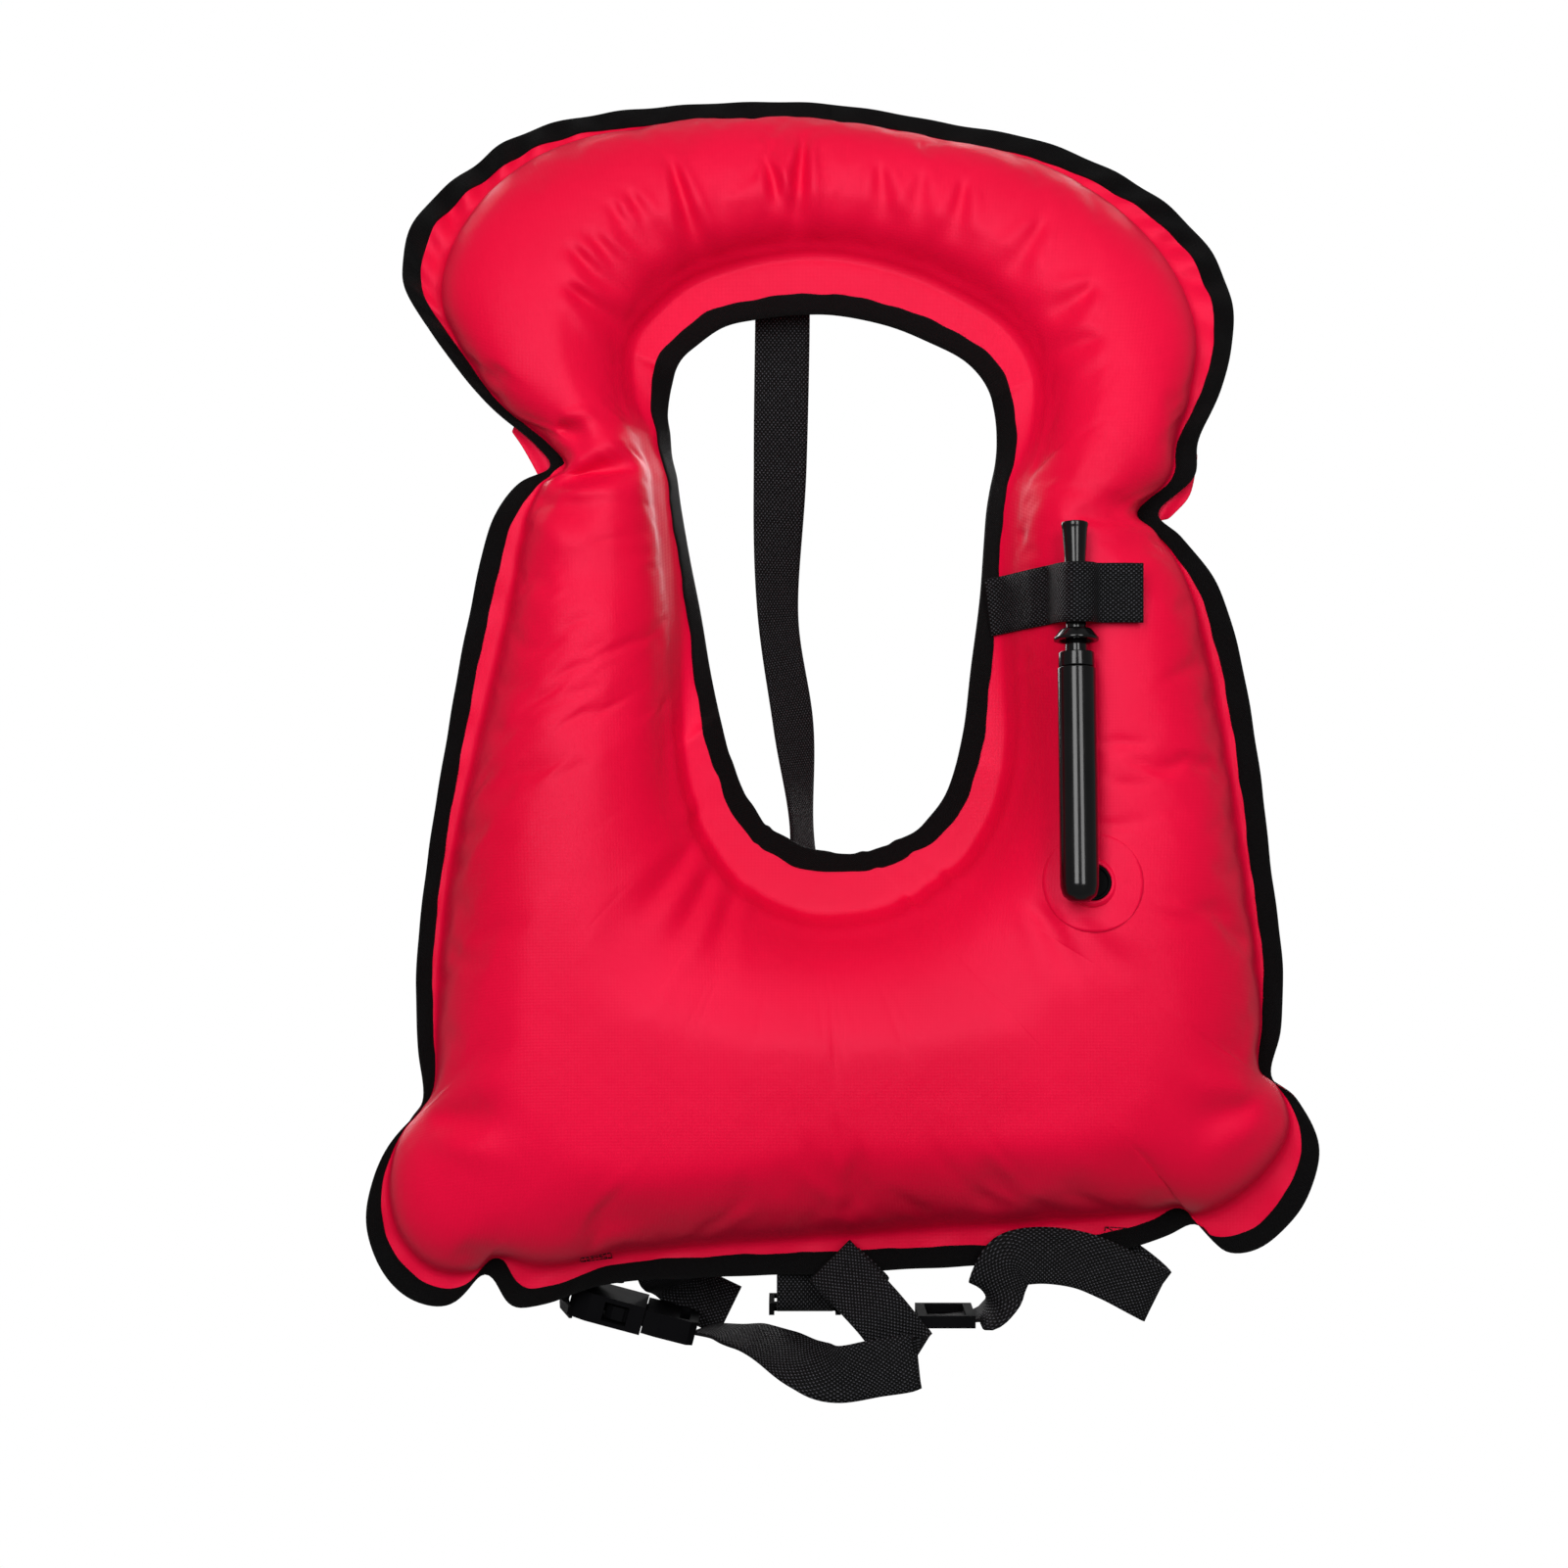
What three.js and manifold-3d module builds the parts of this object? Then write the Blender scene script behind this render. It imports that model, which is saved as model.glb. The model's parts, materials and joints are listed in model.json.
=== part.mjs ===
import * as THREE from 'three';
import { mergeVertices } from 'three/addons/utils/BufferGeometryUtils.js';
import Module from 'manifold-3d';

// Inflatable snorkelling vest, worn upright. Millimetres, +Z up, the chest faces -Y.
// The origin is the middle of the neck opening's upper edge, where the collar rests on the neck.

// Air bladder
const FABRIC = 0.8;            // thickness that stands for one coated panel
const SEAM_GAP = 0.15;         // each panel's distance from the middle surface
const COLLAR_TILT = 20;        // degrees that the collar leans back
const COLLAR_BEND_Z = -80;     // height where the lean starts
const COLLAR_BEND_R = 12;      // softness of that bend
const FULL_WIDTH = 100;        // chamber width at which the tube turns into a cushion
const FRONT_SHARE = 0.52;      // part of the chamber's depth in front of the seam
const NECK_FLARE = 0.3;        // backward slope of the neck flange
const BINDING_WIDTH = 9.5;
const BINDING_INSIDE = 1.9;
const BINDING_OUTSIDE = 2.9;
const BINDING_FOLD = 1.2;

// Webbing
const WEB = 12.5;              // half of a 25 mm strap
const WEB_THICK = 1.4;
const GAP = 0.3;
const HEM_Y = -29;
const BELT_Z = -441;           // height of the belt's level stretch
const BACK_X = -12;            // middle of the back strap below the neck

// Oral inflator, from the middle of its port upwards along its own axis
const INFLATOR_X = 103;
const INFLATOR_Y = -85;
const INFLATOR_Z = -250;
const INFLATOR_TILT = 7.6;
const TUBE_R = 8.2;
const TUBE_BORE = 6.7;
const TUBE_BOTTOM = -7;
const TUBE_TOP = 93;
const STEM_R = 4.75;
const BORE_R = 3;
const MOUTH_TOP = 156;
const MOUTH_R = 5.8;
const NECK_R = 4.3;
const RING_BOTTOM = 104.7;
const RING_TOP = 109.8;
const PORT_X = 110;
const PORT_Z = -249;
const PATCH_R = 20;

// Keeper strap over the mouthpiece
const KEEPER_Z = -126.5;
const KEEPER_HALF = 12.8;
const KEEPER_HINGE_X = 93.5;

// Buckle, in its own axes: x along the strap, y across it, z through it
const BUCKLE_AT = [-88.7, -7, -443.5];
const BUCKLE_TILT = 15;
const BUCKLE_WIDE = 33;
const BUCKLE_THICK = 12.5;

// Sliders
const SLIDER_LONG = 25;
const SLIDER_WIDE = 32;

const wasm = await Module();
wasm.setup();

const vest = new THREE.Group();

const RED = { color: 0xe1052f, roughness: 0.45, metalness: 0 };
const TAPE = { color: 0x141417, roughness: 0.8, metalness: 0 };
const WEBBING = { color: 0x1c1c1f, roughness: 0.85, metalness: 0 };
const GLOSS = { color: 0x0c0c0d, roughness: 0.2, metalness: 0 };
const PLASTIC = { color: 0x131315, roughness: 0.42, metalness: 0 };
const STEEL = { color: 0xb9bcc0, roughness: 0.3, metalness: 1 };
const SEAL = { color: 0x1a1a1a, roughness: 0.7, metalness: 0 };

function add(name, geometry, look, parent = vest) {
  const mesh = new THREE.Mesh(geometry, new THREE.MeshStandardMaterial(look));
  mesh.name = name;
  parent.add(mesh);
  return mesh;
}

function radians(degrees) {
  return THREE.MathUtils.degToRad(degrees);
}

// ---------- solids from sections ----------

function signedVolume(points, faces) {
  let total = 0;
  for (const [a, b, c] of faces) {
    total += points[a].dot(points[b].clone().cross(points[c])) / 6;
  }
  return total;
}

function solidFrom(points, faces) {
  const outward = signedVolume(points, faces) > 0;
  const geometry = new THREE.BufferGeometry();
  const flat = points.flatMap((p) => [p.x, p.y, p.z]);
  const index = faces.flatMap(([a, b, c]) => (outward ? [a, b, c] : [b, a, c]));
  geometry.setAttribute('position', new THREE.Float32BufferAttribute(flat, 3));
  geometry.setIndex(index);
  geometry.computeVertexNormals();
  return geometry;
}

// Skins a row of equal sections. Each section runs along one face of the wall and back along the
// other, and the two faces are split on matching diagonals, which keeps a twisted wall's thickness.
// A closed row joins its last section to its first. An open row is capped by a ladder between the
// faces.
function loft(sections, closed) {
  const size = sections[0].length;
  const points = sections.flat();
  const faces = [];
  const spans = closed ? sections.length : sections.length - 1;
  for (let i = 0; i < spans; i += 1) {
    const here = i * size;
    const next = ((i + 1) % sections.length) * size;
    for (let j = 0; j < size; j += 1) {
      const k = (j + 1) % size;
      if (j < size / 2) {
        faces.push([here + j, next + j, next + k], [here + j, next + k, here + k]);
      } else {
        faces.push([here + j, next + j, here + k], [next + j, next + k, here + k]);
      }
    }
  }
  if (!closed) {
    const last = (sections.length - 1) * size;
    for (let j = 0; j < size / 2 - 1; j += 1) {
      const [a, b, c, d] = [j, j + 1, size - 2 - j, size - 1 - j];
      faces.push([a, b, c], [a, c, d]);
      faces.push([last + b, last + a, last + c], [last + c, last + a, last + d]);
    }
  }
  return solidFrom(points, faces);
}

// A flat strap: each row is its middle (x, y, z) and its half width as a vector.
function strap(rows, thickness = WEB_THICK) {
  const middles = rows.map((r) => new THREE.Vector3(r[0], r[1], r[2]));
  const sections = rows.map((r, i) => {
    const half = new THREE.Vector3(r[3], r[4], r[5]);
    const before = middles[Math.max(i - 1, 0)];
    const after = middles[Math.min(i + 1, rows.length - 1)];
    const along = after.clone().sub(before).normalize();
    const up = half.clone().cross(along).normalize().multiplyScalar(thickness / 2);
    const corner = (a, b) => middles[i].clone().addScaledVector(half, a).addScaledVector(up, b);
    return [corner(1, 1), corner(-1, 1), corner(-1, -1), corner(1, -1)];
  });
  return loft(sections, false);
}

// ---------- booleans ----------

function toManifold(geometry) {
  const bare = geometry.clone();
  for (const name of Object.keys(bare.attributes)) {
    if (name !== 'position') {
      bare.deleteAttribute(name);
    }
  }
  const merged = mergeVertices(bare, 1e-4);
  const mesh = new wasm.Mesh({
    numProp: 3,
    vertProperties: new Float32Array(merged.attributes.position.array),
    triVerts: new Uint32Array(merged.index.array),
  });
  return new wasm.Manifold(mesh);
}

function fromManifold(solid) {
  const mesh = solid.getMesh();
  const geometry = new THREE.BufferGeometry();
  geometry.setAttribute('position', new THREE.Float32BufferAttribute(mesh.vertProperties, 3));
  geometry.setIndex(Array.from(mesh.triVerts));
  geometry.computeVertexNormals();
  return geometry;
}

function join(pieces, cuts = []) {
  const [first, ...rest] = pieces.map(toManifold);
  const whole = rest.reduce((sum, piece) => sum.add(piece), first);
  return fromManifold(cuts.map(toManifold).reduce((body, cut) => body.subtract(cut), whole));
}

function block(x0, x1, y0, y1, z0, z1) {
  const geometry = new THREE.BoxGeometry(x1 - x0, y1 - y0, z1 - z0);
  return geometry.translate((x0 + x1) / 2, (y0 + y1) / 2, (z0 + z1) / 2);
}

// An outline in x and y, given thickness along z and centred on z = 0.
function plate(points, thickness) {
  const shape = new THREE.Shape(points.map(([x, y]) => new THREE.Vector2(x, y)));
  const geometry = new THREE.ExtrudeGeometry(shape, { depth: thickness, bevelEnabled: false });
  return geometry.translate(0, 0, -thickness / 2);
}

// ---------- the vest's outline ----------

// Ribs of the flat pattern, clockwise from the top of the collar as the wearer's chest is seen:
// outer edge x and z, neck edge x and z, width of the neck flange, width of the outer flange.
const RIBS = [
  [1, 108, 1, 5, 30, 9],
  [51, 99, 25, 0, 29, 9],
  [101, 88, 44, -8, 28, 13],
  [143, 66, 60, -17, 27, 18],
  [171, 38, 69, -28, 26, 22],
  [181, 4, 73, -41, 24, 20],
  [174, -30, 74, -55, 20, 15],
  [162, -55, 73, -66, 16, 10],
  [160, -71, 71, -75, 14, 11],
  [143, -88, 69, -87, 13, 9],
  [153, -98, 68, -99, 13, 10],
  [169, -119, 66, -125, 14, 13],
  [180, -155, 62, -155, 19, 14],
  [188, -203, 58, -185, 24, 14],
  [193, -246, 51, -210, 26, 13],
  [198, -289, 42, -223, 28, 13],
  [197, -315, 37, -228, 29, 10],
  [193, -337, 31, -231, 30, 7],
  [203, -344, 28, -232, 30, 10],
  [214, -367, 25, -234, 31, 16],
  [207, -392, 22, -235, 31, 23],
  [190, -410, 19, -236, 32, 26],
  [173, -413, 16, -237, 32, 22],
  [160, -400, 13, -237, 32, 10],
  [147, -406, 10, -238, 33, 14],
  [108, -416, 3, -238, 34, 21],
  [58, -419, -2, -237, 34, 19],
  [0, -422, -9, -236, 34, 17],
  [-56, -424, -15, -234, 33, 15],
  [-99, -427, -20, -231, 33, 15],
  [-128, -436, -24, -229, 32, 20],
  [-141, -437, -26, -228, 32, 21],
  [-152, -422, -28, -226, 32, 9],
  [-168, -436, -30, -225, 31, 17],
  [-185, -434, -32, -222, 31, 17],
  [-200, -418, -35, -217, 31, 16],
  [-205, -397, -38, -213, 30, 15],
  [-199, -373, -40, -209, 30, 11],
  [-188, -358, -42, -204, 30, 7],
  [-180, -347, -44, -198, 29, 7],
  [-182, -325, -46, -193, 28, 11],
  [-183, -293, -49, -181, 26, 14],
  [-179, -248, -54, -159, 21, 15],
  [-170, -190, -59, -131, 15, 18],
  [-160, -135, -64, -106, 12, 19],
  [-149, -90, -68, -83, 11, 15],
  [-138, -74, -69, -76, 11, 11],
  [-124, -67, -70, -69, 11, 7],
  [-132, -56, -72, -61, 12, 7],
  [-154, -37, -73, -50, 15, 7],
  [-179, -5, -74, -40, 20, 12],
  [-194, 22, -72, -28, 24, 20],
  [-189, 51, -68, -17, 26, 22],
  [-166, 76, -60, -9, 27, 17],
  [-133, 97, -49, -1, 28, 15],
  [-74, 107, -33, 3, 29, 9],
  [-35, 109, -16, 5, 30, 9],
];

// Depth of the seam between the panels: upright below the shoulders, leaning back above them.
function lean(z) {
  const t = (z - COLLAR_BEND_Z) / COLLAR_BEND_R;
  const soft = t > 30 ? t : Math.log1p(Math.exp(t));
  return Math.tan(radians(COLLAR_TILT)) * COLLAR_BEND_R * soft;
}

function middleY(z) {
  return lean(z) - lean(0);
}

// A point of one rib: inward distance from the outer edge, and depth from the middle surface.
function ribPoint(rib, inward, depth) {
  const [ox, oz, nx, nz, neckFlange] = rib;
  const length = Math.hypot(nx - ox, nz - oz);
  const share = inward / length;
  const z = oz + (nz - oz) * share;
  const flare = NECK_FLARE * Math.max(0, inward - (length - neckFlange));
  return new THREE.Vector3(ox + (nx - ox) * share, middleY(z) + flare + depth, z);
}

function ribLength(rib) {
  return Math.hypot(rib[2] - rib[0], rib[3] - rib[1]);
}

// Depth of the inflated chamber: round where it is narrow, flatter where it is wide.
function chamberDepth(width) {
  return width / Math.hypot(1, width / FULL_WIDTH);
}

const ARC = [150, 120, 90, 60, 30];

function panelSkin(rib, side, share, offset) {
  const length = ribLength(rib);
  const outerWeld = rib[5];
  const neckWeld = length - rib[4];
  const centre = (outerWeld + neckWeld) / 2;
  const half = (neckWeld - outerWeld) / 2;
  const height = chamberDepth(2 * half) * share;
  const inset = FABRIC - offset;
  const base = SEAM_GAP + offset;
  const flat = (inward) => ribPoint(rib, inward, side * base);
  const bulge = ARC.map((angle) => {
    const inward = centre + (half - inset) * Math.cos(radians(angle));
    return ribPoint(rib, inward, side * (base + (height - inset) * Math.sin(radians(angle))));
  });
  const edge = BINDING_FOLD + GAP;
  const welds = [flat(outerWeld + inset), ...bulge, flat(neckWeld - inset)];
  return [flat(edge), ...welds, flat(length - edge)];
}

function panel(side, share) {
  const sections = RIBS.map((rib) => {
    const outside = panelSkin(rib, side, share, FABRIC);
    const inside = panelSkin(rib, side, share, 0).reverse();
    return [...outside, ...inside];
  });
  return loft(sections, true);
}

// Tape folded over both panels' edges.
function binding(atNeck) {
  const sections = RIBS.map((rib) => {
    const reach = atNeck ? BINDING_WIDTH : Math.min(BINDING_WIDTH, rib[5] - 1);
    const fromEdge = (d, depth) => ribPoint(rib, atNeck ? ribLength(rib) - d : d, depth);
    return [
      fromEdge(0, -BINDING_OUTSIDE),
      fromEdge(reach, -BINDING_OUTSIDE),
      fromEdge(reach, -BINDING_INSIDE),
      fromEdge(BINDING_FOLD, -BINDING_INSIDE),
      fromEdge(BINDING_FOLD, BINDING_INSIDE),
      fromEdge(reach, BINDING_INSIDE),
      fromEdge(reach, BINDING_OUTSIDE),
      fromEdge(0, BINDING_OUTSIDE),
    ];
  });
  return loft(sections, true);
}

const front = add('front_panel', panel(-1, FRONT_SHARE), RED);
add('back_panel', panel(1, 1 - FRONT_SHARE), RED);
add('outer_binding', binding(false), TAPE);
add('neck_binding', binding(true), TAPE);

// Depth of the front panel's outer face at x and z.
const ray = new THREE.Raycaster();
front.updateMatrixWorld(true);
function frontY(x, z) {
  ray.set(new THREE.Vector3(x, -400, z), new THREE.Vector3(0, 1, 0));
  return ray.intersectObject(front)[0].point.y;
}

// ---------- patches that lie on the front panel ----------

function patch(rows, columns, place, gap, thickness) {
  const sections = [];
  for (let i = 0; i <= rows; i += 1) {
    const top = [];
    const bottom = [];
    for (let j = 0; j <= columns; j += 1) {
      const [x, z] = place(i / rows, j / columns);
      const y = frontY(x, z) - gap;
      top.push(new THREE.Vector3(x, y - thickness, z));
      bottom.unshift(new THREE.Vector3(x, y, z));
    }
    sections.push([...top, ...bottom]);
  }
  return loft(sections, false);
}

// Maps the unit square to a round patch.
function disc(centreX, centreZ, radius) {
  return (s, t) => {
    const a = 2 * s - 1;
    const b = 2 * t - 1;
    const x = a * Math.sqrt(1 - (b * b) / 2);
    const z = b * Math.sqrt(1 - (a * a) / 2);
    return [centreX + radius * x, centreZ + radius * z];
  };
}

const PATCH_GAP = 1.1;
const PATCH_THICK = 0.7;
add('valve_patch', patch(6, 6, disc(PORT_X, PORT_Z, PATCH_R), PATCH_GAP, PATCH_THICK), RED);

// ---------- oral inflator ----------

const inflator = new THREE.Group();
inflator.position.set(INFLATOR_X, INFLATOR_Y, INFLATOR_Z);
inflator.rotation.x = -radians(INFLATOR_TILT);
vest.add(inflator);

// A solid of revolution about the inflator's axis. Each point is a radius and a height.
function turned(profile, steps = 20) {
  const onAxis = profile[0][0] === 0;
  const closed = onAxis ? profile : [...profile, profile[0]];
  const lathe = new THREE.LatheGeometry(closed.map(([r, h]) => new THREE.Vector2(r, h)), steps);
  const bare = lathe.rotateX(Math.PI / 2);
  bare.deleteAttribute('normal');
  bare.deleteAttribute('uv');
  const merged = mergeVertices(bare, 1e-4);
  const at = merged.attributes.position;
  const points = [];
  for (let i = 0; i < at.count; i += 1) {
    points.push(new THREE.Vector3().fromBufferAttribute(at, i));
  }
  const faces = [];
  for (let i = 0; i < merged.index.count; i += 3) {
    const face = [0, 1, 2].map((k) => merged.index.getX(i + k));
    if (new Set(face).size === 3) {
      faces.push(face);
    }
  }
  return solidFrom(points, faces);
}

function ring(inner, outer, bottom, top) {
  return turned([[inner, bottom], [outer, bottom], [outer, top], [inner, top]]);
}

add('inflator_tube', turned([
  [0, TUBE_BOTTOM], [TUBE_R - 4, TUBE_BOTTOM + 0.8], [TUBE_R - 1.2, TUBE_BOTTOM + 3.2],
  [TUBE_R, TUBE_BOTTOM + 7], [TUBE_R, TUBE_TOP], [TUBE_BORE, TUBE_TOP],
  [TUBE_BORE, TUBE_BOTTOM + 7], [0, TUBE_BOTTOM + 4],
]), GLOSS, inflator);

const COLLAR_TOP = 99.6;
add('tube_collar', ring(STEM_R + GAP, TUBE_R - 0.5, TUBE_TOP + GAP, COLLAR_TOP), GLOSS, inflator);

const SEAT_Z = 70;
const HOUSING_R = TUBE_BORE - GAP;
const SEAT_BORE = 2.6;
add('valve_housing', turned([
  [SEAT_BORE, SEAT_Z], [HOUSING_R, SEAT_Z], [HOUSING_R, TUBE_TOP], [STEM_R + GAP, TUBE_TOP],
  [STEM_R + GAP, SEAT_Z + 2], [SEAT_BORE, SEAT_Z + 2],
]), PLASTIC, inflator);

// The mouthpiece and the stem that runs down into the housing are one moulding.
const STEM_BOTTOM = 85;
const mouth = [
  [BORE_R, STEM_BOTTOM], [STEM_R, STEM_BOTTOM], [STEM_R, RING_BOTTOM - 1.5],
  [NECK_R, RING_BOTTOM - 1.5], [NECK_R, MOUTH_TOP - 17], [MOUTH_R - 0.3, MOUTH_TOP - 2],
  [MOUTH_R, MOUTH_TOP - 1], [MOUTH_R, MOUTH_TOP], [BORE_R, MOUTH_TOP],
];
add('mouthpiece', turned(mouth, 24), GLOSS, inflator);

add('lock_ring', turned([
  [NECK_R + GAP, RING_BOTTOM], [9.4, RING_BOTTOM], [9.7, RING_BOTTOM + 1.2],
  [5.6, RING_TOP - 0.6], [5.2, RING_TOP], [NECK_R + GAP, RING_TOP],
], 24), GLOSS, inflator);

// Stem of the valve: a head held in the mouthpiece's bore, a rod, and a disc below the seat.
const DISC_TOP = SEAT_Z - 1.3;
const HEAD_Z = STEM_BOTTOM + 1;
add('valve_stem', turned([
  [0, DISC_TOP - 2], [4.8, DISC_TOP - 2], [4.8, DISC_TOP], [1.2, DISC_TOP],
  [1.2, HEAD_Z], [BORE_R - GAP, HEAD_Z], [BORE_R - GAP, HEAD_Z + 3], [0, HEAD_Z + 3],
], 16), PLASTIC, inflator);

const SEAL_WIRE = 0.45;
const seal = new THREE.TorusGeometry(3.6, SEAL_WIRE, 8, 20);
seal.translate(0, 0, DISC_TOP + GAP / 2 + SEAL_WIRE);
add('valve_seal', mergeVertices(seal.deleteAttribute('normal').deleteAttribute('uv')), SEAL, inflator);

// Return spring between the seat and the foot of the mouthpiece's stem.
const SPRING_R = 3.9;
const SPRING_WIRE = 0.45;
const SPRING_TURNS = 4;
class Coil extends THREE.Curve {
  getPoint(t) {
    const turn = t * SPRING_TURNS * 2 * Math.PI;
    const low = SEAT_Z + 2 + GAP + SPRING_WIRE;
    const high = STEM_BOTTOM - GAP - SPRING_WIRE;
    return new THREE.Vector3(SPRING_R * Math.cos(turn), SPRING_R * Math.sin(turn), low + (high - low) * t);
  }
}
const wire = new THREE.Shape().absarc(0, 0, SPRING_WIRE, 0, 2 * Math.PI);
add('valve_spring', new THREE.ExtrudeGeometry(wire, {
  steps: SPRING_TURNS * 12, curveSegments: 3, extrudePath: new Coil(),
}), STEEL, inflator);

// Port: a flange on the patch and a short elbow from it to the tube's foot.
const portY = frontY(PORT_X, PORT_Z) - 3.4;
const FLANGE_THICK = 2;
function rodAlongY(radius, x, z, y0, y1) {
  return new THREE.CylinderGeometry(radius, radius, y1 - y0, 20).translate(x, (y0 + y1) / 2, z);
}
add('port_flange', rodAlongY(8, PORT_X, PORT_Z, portY - FLANGE_THICK, portY), GLOSS);
const elbowEnd = INFLATOR_Y + TUBE_R + 2 * GAP;
add('port_elbow', rodAlongY(5, PORT_X - 2.5, PORT_Z, elbowEnd, portY - FLANGE_THICK - GAP), GLOSS);

// ---------- keeper strap ----------

function keeperClear(x, gap) {
  const heights = [-KEEPER_HALF, 0, KEEPER_HALF].map((d) => frontY(x, KEEPER_Z + d));
  return Math.min(...heights) - gap;
}

const keeperHalf = [0, 0, KEEPER_HALF];
const KEEPER_LIFT = 3.2;
const onBelly = [74, 78, 81, 84, 87, 89.5, KEEPER_HINGE_X - 2.2].map((x) => {
  return [x, keeperClear(x, KEEPER_LIFT), KEEPER_Z];
});
const keeperStart = [69, -33.5, KEEPER_Z - 2];
add('keeper_strap', strap([keeperStart, ...onBelly].map((p) => [...p, ...keeperHalf])), WEBBING);

const hingeY = keeperClear(KEEPER_HINGE_X, KEEPER_LIFT);
const LOOP_THICK = 0.9;
const flapRest = 0.6 + LOOP_THICK + 2 * GAP + LOOP_THICK + WEB_THICK / 2 + GAP;
const overMouth = [
  [KEEPER_HINGE_X, hingeY], [95.5, -66.5], [98, -73], [101, -76.4], [105, -76.4], [109, -74],
  [112.6, -67.8], [114.9, keeperClear(114.9, flapRest)],
];
const flapTail = [119, 125, 132].map((x) => [x, keeperClear(x, flapRest)]);
const flapRows = [...overMouth, ...flapTail].map(([x, y]) => [x, y, KEEPER_Z + 1, ...keeperHalf]);
add('keeper_flap', strap(flapRows), WEBBING);

const HOOK_X = [117.5, 131];
const HOOK_Z = [KEEPER_Z - 9.5, KEEPER_Z + 11.5];
const onKeeper = (s, t) => [
  THREE.MathUtils.lerp(HOOK_X[0], HOOK_X[1], s),
  THREE.MathUtils.lerp(HOOK_Z[0], HOOK_Z[1], t),
];
add('keeper_loop_patch', patch(3, 3, onKeeper, 0.6, LOOP_THICK), TAPE);
const hookRows = [118, 124.5, 131].map((x) => {
  return [x, keeperClear(x, flapRest - WEB_THICK / 2 - GAP - LOOP_THICK / 2), KEEPER_Z + 1, 0, 0, 10.5];
});
add('keeper_hook_patch', strap(hookRows, LOOP_THICK), TAPE);

// ---------- back strap ----------

add('back_strap', strap([
  [-22, 18.5, 31, WEB, 0, 0],
  [-22, 16.5, 5, WEB, 0, 0],
  [-23, 18, -60, 12, 3, 0],
  [-24, 21, -130, 9, 8.7, 0],
  [-17, 24, -180, 9, 8.7, 0],
  [-13, 25, -230, 5, 11.4, 0],
  [-12, 25, -275, 10, 7.5, 0],
  [BACK_X, 23, -320, WEB, 0, 0],
  [BACK_X, 26, -400, WEB, 0, 0],
  [BACK_X, 28, -428, WEB, 0, 0],
  [BACK_X, 26, -437.5, WEB, 0, 0],
  [BACK_X, 20.5, -440.6, WEB, 0, 0],
  [BACK_X, -16.5, -440.6, WEB, 0, 0],
]), WEBBING);

// Short tab from the hem that ends the back strap at its slider.
add('hem_tab', strap([
  [BACK_X, -24, -407.5, WEB, 0, 0],
  [BACK_X, -24, -422, WEB, 0, 0],
  [BACK_X, -24.5, -434, WEB, 0, 0],
  [BACK_X, -22.5, -439, WEB, 0, 0],
  [BACK_X, -17.5, -440.6, WEB, 0, 0],
]), WEBBING);

// ---------- waist belt ----------

add('waist_belt_right', strap([
  [108, -24.6, -411, 2.5, 0, 12.2],
  [125, -24.6, -418.5, 4, 0, 11.8],
  [138, -25.6, -428, 5.1, 0, 11.3],
  [142.2, -29.5, -432, 5.1, 0, 11.3],
  [138, -34.2, -429.5, 5.1, 0, 11.3],
  [122, -35.6, -421, 4, 0, 11.8],
  [108, -35.8, -415.5, 3, 0, 12.1],
  [89, -35.8, -413.5, 0, 0, WEB],
  [78, -35.8, -416, -4, 0, 11.8],
  [73, -35.8, -424, -6.5, 0, 10.6],
  [71, -35, -430.5, -6, 1, 9.5],
  [69.3, -32, -436, -4, 9.5, 4.5],
  [66.5, -29.3, -439.5, -1, 12.4, 1],
  [63, HEM_Y, BELT_Z, 0, WEB, 0],
  [28, HEM_Y, BELT_Z, 0, WEB, 0],
  [23, -30.2, -438.5, 3, 11, 4],
  [16, -33.8, -432, 8, 2.5, 8],
  [10, -34.2, -426, 8.8, 0, 8.8],
  [3, -34.2, -419.5, 8.8, 0, 8.8],
]), WEBBING);

add('waist_belt_left', strap([
  [-1.2, -35.2, -415.6, 8.8, 0, 8.8],
  [1.2, -36.8, -418, 8.8, 0, 8.8],
  [10, -39.6, -426.8, 8.8, 0, 8.8],
  [20, -42.8, -437, 8, 0, 9.6],
  [29, -43.3, -448, 4, 0, 11.8],
  [34.5, -43.7, -454.5, 1, 0, 11.6],
  [36.2, -45.7, -456.5, 0, 0, 11.5],
  [33.5, -47.5, -457.4, 0, 0, 11.5],
  [19, -47.4, -459.8, -1, 0, 12.2],
  [1, -45, -463.2, 0, 0, WEB],
  [-12, -40, -460, 1, 8, 9.2],
  [-24, -30, -455, 1, 10.9, 6],
  [-35, -21, -452, 1, 12, 3.4],
  [-46, -12, -451.5, 0.5, WEB, 1],
  [-57.5, BUCKLE_AT[1], -451, 0, WEB, 0],
]), WEBBING);

add('belt_tab_left', strap([
  [-103, -24, -418.5, WEB, 0, 1],
  [-104.5, -23.6, -424, 12.4, 0, 1],
  [-112.5, -16, -425.5, 9, 8.4, 2],
  [-119.8, -9, -430.5, 1, 12.4, 0],
  [-120.8, BUCKLE_AT[1], -438, 0, WEB, 0],
  [-120.8, BUCKLE_AT[1], -444, 0, WEB, 0],
]), WEBBING);

add('buckle_backing_flap', strap([
  [-75, -24.6, -413.5, 12.3, 0, 2],
  [-74, -22, -423, 12, 0, 3],
  [-72, -8, -430, 11.5, 0, 3],
  [-68, 11.5, -434, 10, 0, 6],
  [-62, 13.5, -439, 7, 0, 10],
  [-46, 13.5, -447, 4, 0, 10],
]), WEBBING);

// ---------- sliders ----------

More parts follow.
